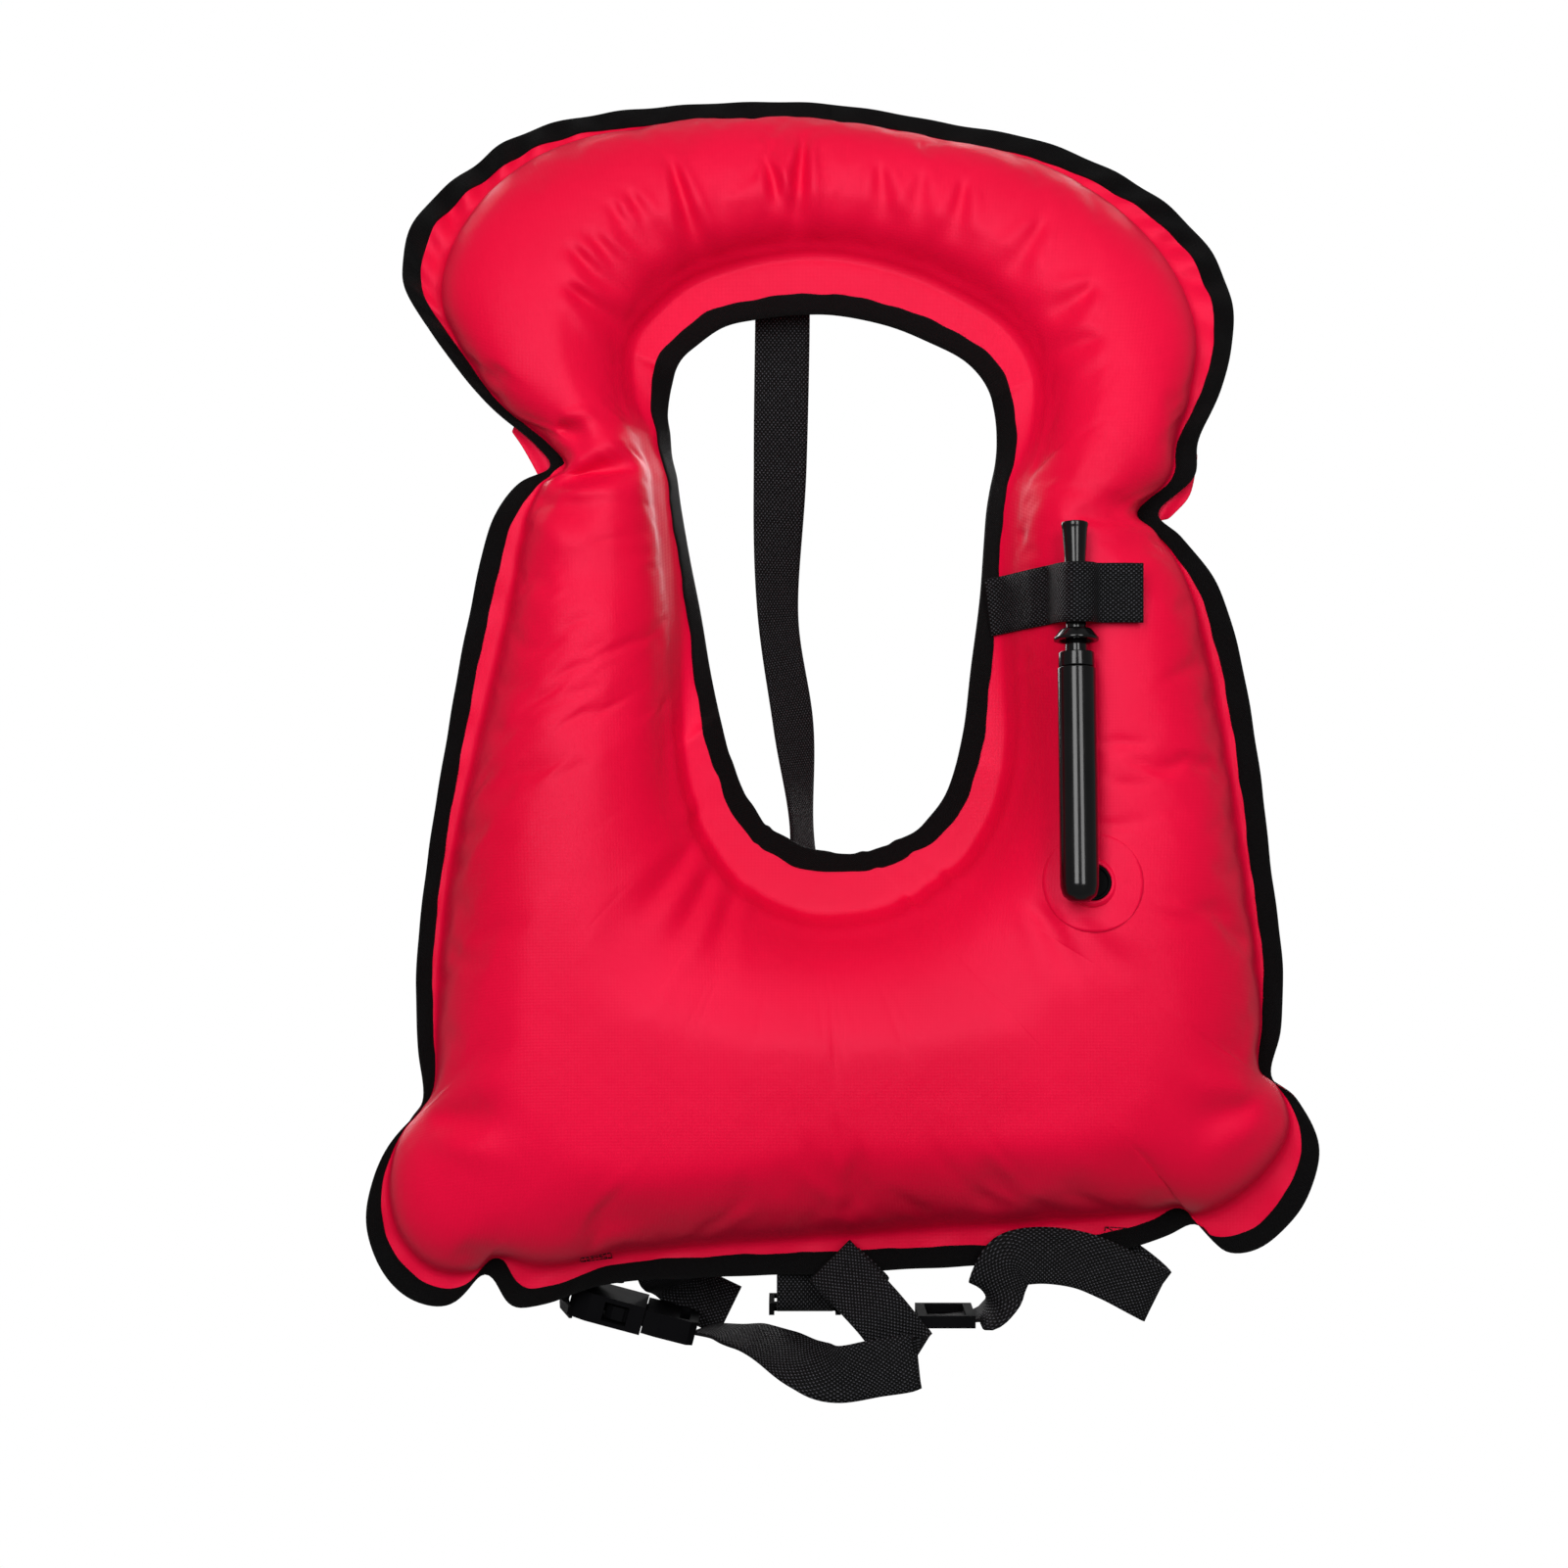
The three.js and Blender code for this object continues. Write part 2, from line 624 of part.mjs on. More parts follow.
// Two rails, two end bars above the strap and one bar below it, so the strap runs straight through.
const RAIL = 2.4;
const BAR_THICK = 1.7;
const BAR_RISE = WEB_THICK / 2 + GAP;
function slider() {
  const halfLong = SLIDER_LONG / 2;
  const halfWide = SLIDER_WIDE / 2;
  const top = BAR_RISE + BAR_THICK;
  const rail = (side) => block(-halfLong, halfLong, side - RAIL / 2, side + RAIL / 2, -top, top);
  const reach = halfWide - RAIL / 2;
  const bar = (x, width, z) => block(x - width / 2, x + width / 2, -reach, reach, z, z + BAR_THICK);
  return join([
    rail(reach),
    rail(-reach),
    bar(2 - halfLong, 4, BAR_RISE),
    bar(halfLong - 2, 4, BAR_RISE),
    bar(0, 5, -top),
  ]);
}

add('belt_slider', slider(), PLASTIC).position.set(49.5, HEM_Y, BELT_Z);
const backSlider = add('back_strap_slider', slider(), PLASTIC);
backSlider.position.set(BACK_X, -3.5, -440.6);
backSlider.rotation.z = Math.PI / 2;

// ---------- side-release buckle ----------

const buckle = new THREE.Group();
buckle.position.set(...BUCKLE_AT);
buckle.rotation.y = radians(BUCKLE_TILT);
vest.add(buckle);

const MOUTH_X = 5;
const FEMALE_END = -28.5;
const MALE_END = 29;
const CAVITY_HALF = 15.3;
const CAVITY_RISE = 4.2;
const halfWide = BUCKLE_WIDE / 2;
const halfThick = BUCKLE_THICK / 2;

const femaleOutline = [
  [MOUTH_X, -halfWide], [MOUTH_X, halfWide], [-20, halfWide], [-26, halfWide - 2.5],
  [FEMALE_END, halfWide - 5], [FEMALE_END, 5 - halfWide], [-26, 2.5 - halfWide], [-20, -halfWide],
];
add('buckle_female', join([plate(femaleOutline, BUCKLE_THICK)], [
  block(-19, MOUTH_X + 1, -CAVITY_HALF, CAVITY_HALF, -CAVITY_RISE, CAVITY_RISE),
  block(-13, -2, -halfWide - 1, halfWide + 1, -CAVITY_RISE, CAVITY_RISE),
  block(-25, -21.5, -12.8, 12.8, -halfThick - 1, halfThick + 1),
]), PLASTIC, buckle);

const ARM_ROOT = 9.4;
const maleOutline = [
  [MOUTH_X + GAP, -halfWide + 0.8], [12, -halfWide], [MALE_END - 3, -halfWide + 0.8],
  [MALE_END, 4 - halfWide], [MALE_END, halfWide - 4], [MALE_END - 3, halfWide - 0.8],
  [12, halfWide], [MOUTH_X + GAP, halfWide - 0.8],
];
const tongue = block(-14, MOUTH_X + 2, -3.2, 3.2, -2.2, 2.2);
const ARM_POCKET = 3.4;
add('buckle_male', join([plate(maleOutline, 10.5), tongue], [
  block(20.5, 25, -12.8, 12.8, -halfThick, halfThick),
  block(0, 10.5, 5.2, 14.2, -ARM_POCKET, ARM_POCKET),
  block(0, 10.5, -14.2, -5.2, -ARM_POCKET, ARM_POCKET),
]), PLASTIC, buckle);

// Latch arms: a springy stem and a hooked head that shows in the side window.
function arm(side) {
  const outline = [
    [10, ARM_ROOT - 2.6], [10, ARM_ROOT + 2.4], [3, 12.2], [-3.2, 14], [-4, 14.8], [-9, 14.8],
    [-12, 12.4], [-12, 10.6], [-4, 10.2], [3, ARM_ROOT - 1],
  ];
  return plate(outline.map(([x, y]) => [x, side * y]), 2 * ARM_POCKET - 1);
}
function outwardFacing(geometry) {
  return fromManifold(toManifold(geometry));
}
add('buckle_arm_front', outwardFacing(arm(-1)), PLASTIC, buckle);
add('buckle_arm_rear', outwardFacing(arm(1)), PLASTIC, buckle);

export default vest;
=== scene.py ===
import json
import math

import bmesh
import bpy
import numpy as np
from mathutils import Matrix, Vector
from mathutils.bvhtree import BVHTree


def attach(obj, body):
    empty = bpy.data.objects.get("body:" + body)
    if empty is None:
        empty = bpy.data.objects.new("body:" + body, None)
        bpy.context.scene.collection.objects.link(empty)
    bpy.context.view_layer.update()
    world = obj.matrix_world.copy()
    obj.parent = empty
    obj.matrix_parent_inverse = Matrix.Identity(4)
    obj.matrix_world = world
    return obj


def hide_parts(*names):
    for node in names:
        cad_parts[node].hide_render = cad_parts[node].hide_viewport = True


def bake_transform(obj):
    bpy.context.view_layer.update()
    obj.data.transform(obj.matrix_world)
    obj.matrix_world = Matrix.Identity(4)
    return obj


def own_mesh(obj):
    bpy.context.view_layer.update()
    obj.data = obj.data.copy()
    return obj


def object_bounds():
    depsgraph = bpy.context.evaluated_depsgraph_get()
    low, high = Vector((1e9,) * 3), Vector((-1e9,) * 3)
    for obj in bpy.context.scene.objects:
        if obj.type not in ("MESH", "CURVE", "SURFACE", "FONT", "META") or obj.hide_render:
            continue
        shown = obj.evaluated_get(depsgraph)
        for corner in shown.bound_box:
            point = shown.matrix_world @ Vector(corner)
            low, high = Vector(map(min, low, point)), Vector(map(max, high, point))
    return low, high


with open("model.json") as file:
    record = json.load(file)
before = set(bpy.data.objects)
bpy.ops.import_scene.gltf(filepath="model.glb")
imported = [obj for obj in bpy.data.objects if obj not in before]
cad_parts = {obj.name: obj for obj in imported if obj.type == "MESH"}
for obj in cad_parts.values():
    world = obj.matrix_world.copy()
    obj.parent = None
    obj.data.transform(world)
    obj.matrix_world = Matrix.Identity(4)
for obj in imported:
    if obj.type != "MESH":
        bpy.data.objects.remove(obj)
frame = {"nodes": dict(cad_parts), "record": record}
cad_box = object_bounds()

MM = 0.001
TAU = 2 * math.pi

# -------- camera

CAMERA_X = -21.3               # millimetres, as every length below unless it says metres
CAMERA_Z = -207.1
CAMERA_DISTANCE = 1250
VIEW_WIDTH = 690.1             # width seen at the plane of the seams
SENSOR = 36


def make_camera(plane_y):
    data = bpy.data.cameras.new("camera")
    data.sensor_width = SENSOR
    data.lens = SENSOR * CAMERA_DISTANCE / VIEW_WIDTH
    camera = bpy.data.objects.new("camera", data)
    camera.location = Vector((CAMERA_X, plane_y - CAMERA_DISTANCE, CAMERA_Z)) * MM
    camera.rotation_euler = (math.pi / 2, 0, 0)
    bpy.context.collection.objects.link(camera)
    bpy.context.scene.camera = camera


# -------- the vest's pattern

COLLAR_TILT = math.radians(20)
COLLAR_BEND_Z = -80
COLLAR_BEND_R = 12

# Ribs of the vest: outer edge x and z, neck edge x and z, width of the neck and outer flanges.
RIBS = np.array([
    [1, 108, 1, 5, 30, 9], [51, 99, 25, 0, 29, 9], [101, 88, 44, -8, 28, 13],
    [143, 66, 60, -17, 27, 18], [171, 38, 69, -28, 26, 22], [181, 4, 73, -41, 24, 20],
    [174, -30, 74, -55, 20, 15], [162, -55, 73, -66, 16, 10], [160, -71, 71, -75, 14, 11],
    [143, -88, 69, -87, 13, 9], [153, -98, 68, -99, 13, 10], [169, -119, 66, -125, 14, 13],
    [180, -155, 62, -155, 19, 14], [188, -203, 58, -185, 24, 14], [193, -246, 51, -210, 26, 13],
    [198, -289, 42, -223, 28, 13], [197, -315, 37, -228, 29, 10], [193, -337, 31, -231, 30, 7],
    [203, -344, 28, -232, 30, 10], [214, -367, 25, -234, 31, 16], [207, -392, 22, -235, 31, 23],
    [190, -410, 19, -236, 32, 26], [173, -413, 16, -237, 32, 22], [160, -400, 13, -237, 32, 10],
    [147, -406, 10, -238, 33, 14], [108, -416, 3, -238, 34, 21], [58, -419, -2, -237, 34, 19],
    [0, -422, -9, -236, 34, 17], [-56, -424, -15, -234, 33, 15], [-99, -427, -20, -231, 33, 15],
    [-128, -436, -24, -229, 32, 20], [-141, -437, -26, -228, 32, 21],
    [-152, -422, -28, -226, 32, 9], [-168, -436, -30, -225, 31, 17],
    [-185, -434, -32, -222, 31, 17], [-200, -418, -35, -217, 31, 16],
    [-205, -397, -38, -213, 30, 15], [-199, -373, -40, -209, 30, 11],
    [-188, -358, -42, -204, 30, 7], [-180, -347, -44, -198, 29, 7], [-182, -325, -46, -193, 28, 11],
    [-183, -293, -49, -181, 26, 14], [-179, -248, -54, -159, 21, 15],
    [-170, -190, -59, -131, 15, 18], [-160, -135, -64, -106, 12, 19], [-149, -90, -68, -83, 11, 15],
    [-138, -74, -69, -76, 11, 11], [-124, -67, -70, -69, 11, 7], [-132, -56, -72, -61, 12, 7],
    [-154, -37, -73, -50, 15, 7], [-179, -5, -74, -40, 20, 12], [-194, 22, -72, -28, 24, 20],
    [-189, 51, -68, -17, 26, 22], [-166, 76, -60, -9, 27, 17], [-133, 97, -49, -1, 28, 15],
    [-74, 107, -33, 3, 29, 9], [-35, 109, -16, 5, 30, 9],
], dtype=float)


def lean(z):
    t = (np.asarray(z, dtype=float) - COLLAR_BEND_Z) / COLLAR_BEND_R
    return math.tan(COLLAR_TILT) * COLLAR_BEND_R * np.logaddexp(0, t)


def middle_y(z):
    return lean(z) - lean(0.0)


HEM_Y = float(middle_y(-420))


def smooth_step(value, low, high):
    t = np.clip((value - low) / (high - low), 0, 1)
    return t * t * (3 - 2 * t)


def spline_point(p, steps, t):
    """Point at share t between the middle two of four points, on a centripetal spline."""
    k0, k1, k2, k3 = -steps[0], 0.0, steps[1], steps[1] + steps[2]
    u = t * steps[1]
    a1 = p[0] * (k1 - u) / (k1 - k0) + p[1] * (u - k0) / (k1 - k0)
    a2 = p[1] * (k2 - u) / (k2 - k1) + p[2] * (u - k1) / (k2 - k1)
    a3 = p[2] * (k3 - u) / (k3 - k2) + p[3] * (u - k2) / (k3 - k2)
    b1 = a1 * (k2 - u) / (k2 - k0) + a2 * (u - k0) / (k2 - k0)
    b2 = a2 * (k3 - u) / (k3 - k1) + a3 * (u - k1) / (k3 - k1)
    return b1 * (k2 - u) / (k2 - k1) + b2 * (u - k1) / (k2 - k1)


RIB_SAMPLES = 16               # fine points from one rib to the next


def ring_spline(rows, count):
    """Samples a closed spline through the rows, evenly along its first four columns."""
    rows = np.asarray(rows, dtype=float)
    total = len(rows)
    ahead = np.roll(rows, -1, axis=0)
    chord = np.hypot(*(ahead - rows)[:, :2].T) + 0.5 * np.hypot(*(ahead - rows)[:, 2:4].T)
    step = np.sqrt(chord)

    def rib_point(i, t):
        return spline_point([rows[(i + k) % total] for k in (-1, 0, 1, 2)],
                            [step[(i + k) % total] for k in (-1, 0, 1)], t)

    shares = np.arange(RIB_SAMPLES) / RIB_SAMPLES
    fine = np.array([rib_point(i, t) for i in range(total) for t in shares])
    nxt = np.roll(fine, -1, axis=0)
    arc = np.concatenate([[0], np.cumsum(np.hypot(*(nxt - fine)[:, :2].T)
                                         + 0.8 * np.hypot(*(nxt - fine)[:, 2:4].T))])
    wanted = np.arange(count) / count * arc[-1]
    closed = np.vstack([fine, fine[:1]])
    return np.stack([np.interp(wanted, arc, closed[:, c]) for c in range(rows.shape[1])], axis=1)


AROUND = 480                   # samples round the vest
FLANGE_STEPS = 5
CHAMBER_STEPS = 28
WELD_LINES = [0.0, 1.3, 2.6, 3.9, 5.2, 6.5]     # rows beside the neck weld, for its embossed lines
NECK_STEPS = 4


def make_pattern():
    """The vest's flat pattern: each sample's x, z and kind of row."""
    ribs = ring_spline(RIBS, AROUND)
    length = np.hypot(ribs[:, 2] - ribs[:, 0], ribs[:, 3] - ribs[:, 1])
    outer_weld = ribs[:, 5]
    neck_weld = length - ribs[:, 4]
    rows = [outer_weld * k / FLANGE_STEPS for k in range(FLANGE_STEPS)]
    for k in range(CHAMBER_STEPS):
        share = 0.5 - 0.5 * math.cos(math.pi * k / CHAMBER_STEPS)
        share = 0.6 * share + 0.4 * k / CHAMBER_STEPS
        rows.append(outer_weld + (neck_weld - outer_weld) * share)
    for d in WELD_LINES:
        rows.append(neck_weld + d)
    rest = length - neck_weld - WELD_LINES[-1]
    for k in range(1, NECK_STEPS + 1):
        rows.append(neck_weld + WELD_LINES[-1] + rest * k / NECK_STEPS)
    inward = np.array(rows).T
    share = inward / length[:, None]
    x = ribs[:, 0:1] + (ribs[:, 2:3] - ribs[:, 0:1]) * share
    z = ribs[:, 1:2] + (ribs[:, 3:4] - ribs[:, 1:2]) * share
    return ribs, inward, x, z, outer_weld, neck_weld


ribs, inward, flat_x, flat_z, outer_weld, neck_weld = make_pattern()
ROWS = flat_x.shape[1]
FIRST = FLANGE_STEPS           # row of the outer weld
LAST = FLANGE_STEPS + CHAMBER_STEPS       # row of the neck weld


def ring_faces(around, rows):
    """Quads of a sheet that closes round the vest."""
    faces = []
    for i in range(around):
        j = (i + 1) % around
        for r in range(rows - 1):
            faces.append((i * rows + r, i * rows + r + 1, j * rows + r + 1, j * rows + r))
    return faces


def tube_faces(rings, width, closed):
    """Quads between neighbouring rings of points. If closed, the last ring joins the first."""
    faces = []
    for i in range(rings if closed else rings - 1):
        j = (i + 1) % rings
        for r in range(width):
            s = (r + 1) % width
            faces.append((i * width + r, i * width + s, j * width + s, j * width + r))
    return faces


# -------- the inflated shape

FLATTEN = 50                   # height that a wide stretch of the chamber is held under
SOLVER_STEPS = 900


def poisson_height():
    """Height of a blown-up membrane over the chamber: the root of Poisson's solution."""
    x = flat_x[:, FIRST:LAST + 1]
    z = flat_z[:, FIRST:LAST + 1]
    rows = x.shape[1]
    points = np.stack([x.ravel(), z.ravel()], axis=1)
    quads = np.array(ring_faces(AROUND, rows))
    tris = np.vstack([quads[:, [0, 1, 2]], quads[:, [0, 2, 3]]])
    weights_i, weights_j, weights = [], [], []
    mass = np.zeros(len(points))
    for a, b, c in ((0, 1, 2), (1, 2, 0), (2, 0, 1)):
        pa, pb, pc = (points[tris[:, k]] for k in (a, b, c))
        u, v = pa - pc, pb - pc
        cross = np.abs(u[:, 0] * v[:, 1] - u[:, 1] * v[:, 0])
        cot = (u * v).sum(axis=1) / np.maximum(cross, 1e-6)
        weights_i.append(tris[:, a])
        weights_j.append(tris[:, b])
        weights.append(cot / 2)
        np.add.at(mass, tris[:, a], cross / 6)
    i = np.concatenate(weights_i)
    j = np.concatenate(weights_j)
    w = np.concatenate(weights)
    diagonal = np.bincount(i, w, len(points)) + np.bincount(j, w, len(points))
    row = np.tile(np.arange(rows), AROUND)
    free = (row > 0) & (row < rows - 1)

    def apply(value):
        flow = w * (value[i] - value[j])
        out = np.bincount(i, flow, len(points)) - np.bincount(j, flow, len(points))
        return np.where(free, out, 0)

    solution = np.zeros(len(points))
    residual = np.where(free, mass, 0)
    scaled = residual / diagonal
    direction = scaled.copy()
    energy = residual @ scaled
    for _ in range(SOLVER_STEPS):
        pushed = apply(direction)
        step = energy / (direction @ pushed)
        solution += step * direction
        residual -= step * pushed
        scaled = residual / diagonal
        fresh = residual @ scaled
        if fresh < 1e-9:
            break
        direction = scaled + fresh / energy * direction
        energy = fresh
    height = np.sqrt(2 * np.maximum(solution, 0))
    height = height / np.sqrt(1 + (height / FLATTEN) ** 2)
    return height.reshape(AROUND, rows)


FLANGE_WIDTH = 25              # of the neck flange, which turns back where it looks narrower


def neck_flare():
    """How far back each row of the neck flange leans."""
    width = ribs[:, 4]
    turn = 0.45 + 0.4 * smooth_step(-ribs[:, 2], 30, 60)
    depth = turn * np.sqrt(np.maximum(FLANGE_WIDTH ** 2 - width ** 2, 0)) + 2
    share = np.clip((inward - neck_weld[:, None]) / width[:, None], 0, 1)
    return depth[:, None] * share


def ruffle():
    """Waves along the outer flange, strongest at the collar's upper corners."""
    x, z = ribs[:, 0], ribs[:, 1]
    along = np.cumsum(np.hypot(np.diff(x, append=x[0]), np.diff(z, append=z[0])))
    total = along[-1]

    def wave(length, phase, slant=0):
        turns = TAU * round(total / length) / total
        return np.sin(turns * (along[:, None] + slant * inward) + phase)

    upper_left = np.exp(-((x + 160) ** 2 + (z - 66) ** 2) / 62 ** 2)
    upper_right = np.exp(-((x - 165) ** 2 + (z - 45) ** 2) / 55 ** 2)
    strength = (0.8 + 2.2 * upper_left + 1.3 * upper_right)[:, None]
    share = np.clip(1 - inward / outer_weld[:, None], 0, 1)
    broad = strength * (wave(29, 0) + 0.6 * wave(61, 1)) * share ** 1.3
    puckers = (0.3 + 4.2 * upper_left + 2.6 * upper_right)[:, None] * wave(21, 0.4, 0.7)
    return broad + puckers * np.sin(math.pi * np.clip(share, 0, 0.95)) ** 1.2


flare = neck_flare()
waves = ruffle()
seam_y = middle_y(flat_z) + flare + waves
chamber_height = poisson_height()

# A crease runs from one point to another: x, z, x, z, half width, depth.
CREASES = [
    [-12.9, 79, -15.8, 48, 2.3, 3.6], [-28, 70, -23, 53, 2.2, 2.8], [-70.4, 67, -61, 36, 2.4, 3.2],
    [-89, 54, -79.5, 35, 2.6, 2.0], [-97, 48.5, -86.5, 32.5, 2.6, 1.8],
    [-105, 34, -91.5, 16.5, 2.8, 2.0], [-113, 27, -95.5, 9, 2.8, 2.3],
    [-114, 10, -95.5, -3, 2.9, 2.5], [22, 68, 23.5, 48.5, 2.6, 1.8], [40, 64, 38, 47, 2.6, 1.3],
    [59, 60, 55, 40, 2.6, 2.0], [92, 40, 81, 22, 3.0, 1.9], [114, 11, 98.5, 0.5, 3.2, 2.0],
    [116, -12, 99, -16, 3.4, 1.6], [-116, -75, -88, -67, 3.2, 4.6],
    [-119, -51, -109, -54, 2.6, 3.0], [-128, -82, -104, -92, 4.5, 2.4],
    [-63, -236, -80, -261, 3.6, 1.7], [-55, -249, -67, -274, 3.4, 1.6],
    [-44, -259, -53, -284, 3.4, 1.3], [88, -262, 104, -286, 3.8, 1.9],
    [104, -266, 119, -284, 3.4, 1.6], [-168, -352, -142, -349, 4.5, 3.2],
    [178, -346, 156, -350, 4.5, 2.6], [-130, -115, -90, -114, 7, 1.5],
    [-98, -392, -60, -398, 7, 1.2], [60, -380, 110, -390, 9, 1.2],
]
# These, beside the right notch, have no ridges, which would cover the tape.
DENTS = [
    [138, -90, 116, -85, 3.4, 3.6],
    [146, -100, 120, -106, 4.5, 2.2],
]


CREASE_RIDGE = 0.45            # height of a crease's side ridges, as a share of its depth


def creased(x, z):
    """Depth of the pinched creases and dents at each point."""
    total = np.zeros_like(x)
    pressed = [(*row, CREASE_RIDGE) for row in CREASES] + [(*row, 0) for row in DENTS]
    for x0, z0, x1, z1, half, depth, ridge in pressed:
        dx, dz = x1 - x0, z1 - z0
        length = math.hypot(dx, dz)
        along = ((x - x0) * dx + (z - z0) * dz) / length ** 2
        across = ((x - x0) * dz - (z - z0) * dx) / length / half
        fade = smooth_step(along, -0.35, 0.15) * (1 - smooth_step(along, 0.55, 1.5))
        across = across / (1 + 0.8 * np.clip(along, 0, 1.5))
        beside = ridge * np.exp(-(np.abs(across) - 2.0) ** 2)
        total += depth * fade * (np.exp(-across ** 2) - beside)
    return total


def mesh_object(name, points, faces):
    mesh = bpy.data.meshes.new(name)
    mesh.from_pydata([tuple(p) for p in points], [], faces)
    mesh.validate()
    mesh.update()
    mesh.polygons.foreach_set("use_smooth", [True] * len(mesh.polygons))
    piece = bpy.data.objects.new(name, mesh)
    bpy.context.collection.objects.link(piece)
    return piece


def apply_modifiers(piece):
    bpy.context.view_layer.update()
    graph = bpy.context.evaluated_depsgraph_get()
    mesh = bpy.data.meshes.new_from_object(piece.evaluated_get(graph))
    old = piece.data
    piece.modifiers.clear()
    piece.data = mesh
    bpy.data.meshes.remove(old)


def subdivide(piece, levels):
    smoother = piece.modifiers.new("smooth", "SUBSURF")
    smoother.levels = smoother.render_levels = levels
    apply_modifiers(piece)


# -------- cloth

CLOTH_FRAMES = 22
CLOTH_EXCESS = 0.018           # how much larger than its starting shape the cloth wants to be
CLOTH_PRESSURE = 14.0
CLOTH_CAP = 9.0                # the furthest that a point may move
CLOTH = {
    "quality": 6, "mass": 0.25, "tension_stiffness": 25, "compression_stiffness": 12,
    "shear_stiffness": 6, "bending_stiffness": 0.35, "bending_model": "ANGULAR",
    "air_damping": 6, "tension_damping": 15, "compression_damping": 15,
    "vertex_group_mass": "welds", "shrink_min": -CLOTH_EXCESS, "use_pressure": True,
    "uniform_pressure_force": CLOTH_PRESSURE,
}
BACK_SHARE = 0.92              # the back bulges a little less than the front


def chamber_tube():
    """Front and back of the chamber as one closed tube, in metres, and which points are welds."""
    x = flat_x[:, FIRST:LAST + 1]
    z = flat_z[:, FIRST:LAST + 1]
    y = seam_y[:, FIRST:LAST + 1]
    rows = x.shape[1]
    front = np.stack([x, y - chamber_height, z], axis=2)
    back = np.stack([x, y + BACK_SHARE * chamber_height, z], axis=2)[:, 1:-1]
    tube = np.concatenate([front, back[:, ::-1]], axis=1)
    around_tube = tube.shape[1]
    points = tube.reshape(-1, 3) * MM
    faces = tube_faces(AROUND, around_tube, True)
    row = np.tile(np.arange(around_tube), AROUND)
    welds = np.nonzero((row == 0) | (row == rows - 1))[0]
    return points, faces, welds, rows, around_tube


def simulate_tube(points, faces, welds):
    piece = mesh_object("chamber", points, faces)
    group = piece.vertex_groups.new(name="welds")
    group.add([int(k) for k in welds], 1.0, "REPLACE")
    cloth = piece.modifiers.new("cloth", "CLOTH")
    settings = cloth.settings
    for key, value in CLOTH.items():
        setattr(settings, key, value)
    settings.effector_weights.gravity = 0
    cloth.collision_settings.use_collision = False
    cloth.collision_settings.use_self_collision = False
    cloth.point_cache.frame_start = 1
    cloth.point_cache.frame_end = CLOTH_FRAMES
    scene = bpy.context.scene
    for number in range(1, CLOTH_FRAMES + 1):
        scene.frame_set(number)
    apply_modifiers(piece)
    result = np.empty(len(piece.data.vertices) * 3)
    piece.data.vertices.foreach_get("co", result)
    scene.frame_set(1)
    bpy.data.objects.remove(piece)
    return result.reshape(-1, 3)


def inflate():
    """The blown-up chamber's front and back as grids of points in millimetres."""
    points, faces, welds, rows, around_tube = chamber_tube()
    moved = simulate_tube(points, faces, welds)
    shift = (moved - points) / MM
    size = np.linalg.norm(shift, axis=1, keepdims=True)
    points = points + shift * np.minimum(1, CLOTH_CAP / np.maximum(size, 1e-6)) * MM
    grid = points.reshape(AROUND, around_tube, 3) / MM
    front = grid[:, :rows]
    back = np.concatenate([grid[:, :1], grid[:, rows:][:, ::-1], grid[:, rows - 1:rows]], axis=1)
    return front, back


EMBOSS_AT = (1.3, 5.2)         # from the neck weld
EMBOSS_HALF = 0.7
EMBOSS_DEPTH = 0.2
PANEL_LIFT = 0.35              # each panel's distance from the seam's middle surface
SOFTENED = slice(LAST - 9, LAST + 8)      # rows over the neck weld, where the panel turns
SOFTEN_PASSES = 22


def emboss():
    """Two welded lines pressed into the neck flange."""
    d = inward - neck_weld[:, None]
    near, far = (np.exp(-((d - place) / EMBOSS_HALF) ** 2) for place in EMBOSS_AT)
    return EMBOSS_DEPTH * (near + far)


def panel_points(chamber, side):
    """Full panel: flanges lie on the seam's middle surface, the chamber bulges to one side."""
    points = np.stack([flat_x, seam_y + side * PANEL_LIFT, flat_z], axis=2)
    points[:, FIRST + 1:LAST] = chamber[:, 1:-1]
    for _ in range(SOFTEN_PASSES):
        soft = (points[:, :-2, 1] + 2 * points[:, 1:-1, 1] + points[:, 2:, 1]) / 4
        points[:, SOFTENED, 1] = np.pad(soft, ((0, 0), (1, 1)))[:, SOFTENED]
    points[:, :, 1] -= side * emboss()
    return points


front_chamber, back_chamber = inflate()
front_grid = panel_points(front_chamber, -1)
back_grid = panel_points(back_chamber, 1)


def make_panel(name, grid, node, flip):
    faces = ring_faces(AROUND, ROWS)
    if flip:
        faces = [tuple(reversed(f)) for f in faces]
    piece = mesh_object(name, grid.reshape(-1, 3) * MM, faces)
    subdivide(piece, 1)
    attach(piece, "vest")
    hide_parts(node)
    return piece


def press_creases(piece):
    points = np.empty(len(piece.data.vertices) * 3)
    piece.data.vertices.foreach_get("co", points)
    points = points.reshape(-1, 3)
    points[:, 1] += creased(points[:, 0] / MM, points[:, 2] / MM) * MM
    piece.data.vertices.foreach_set("co", points.ravel())
    piece.data.update()


front_skin = make_panel("front_skin", front_grid, "front_panel", False)
back_skin = make_panel("back_skin", back_grid, "back_panel", True)
press_creases(front_skin)


# -------- materials

def node_material(name):
    material = bpy.data.materials.new(name)
    material.use_nodes = True
    tree = material.node_tree
    shader = tree.nodes["Principled BSDF"]
    return material, tree, shader


def add_node(tree, kind, inputs=None, **settings):
    item = tree.nodes.new(kind)
    for key, value in settings.items():
        setattr(item, key, value)
    for key, value in (inputs or {}).items():
        if isinstance(value, bpy.types.NodeSocket):
            tree.links.new(value, item.inputs[key])
        else:
            item.inputs[key].default_value = value
    return item


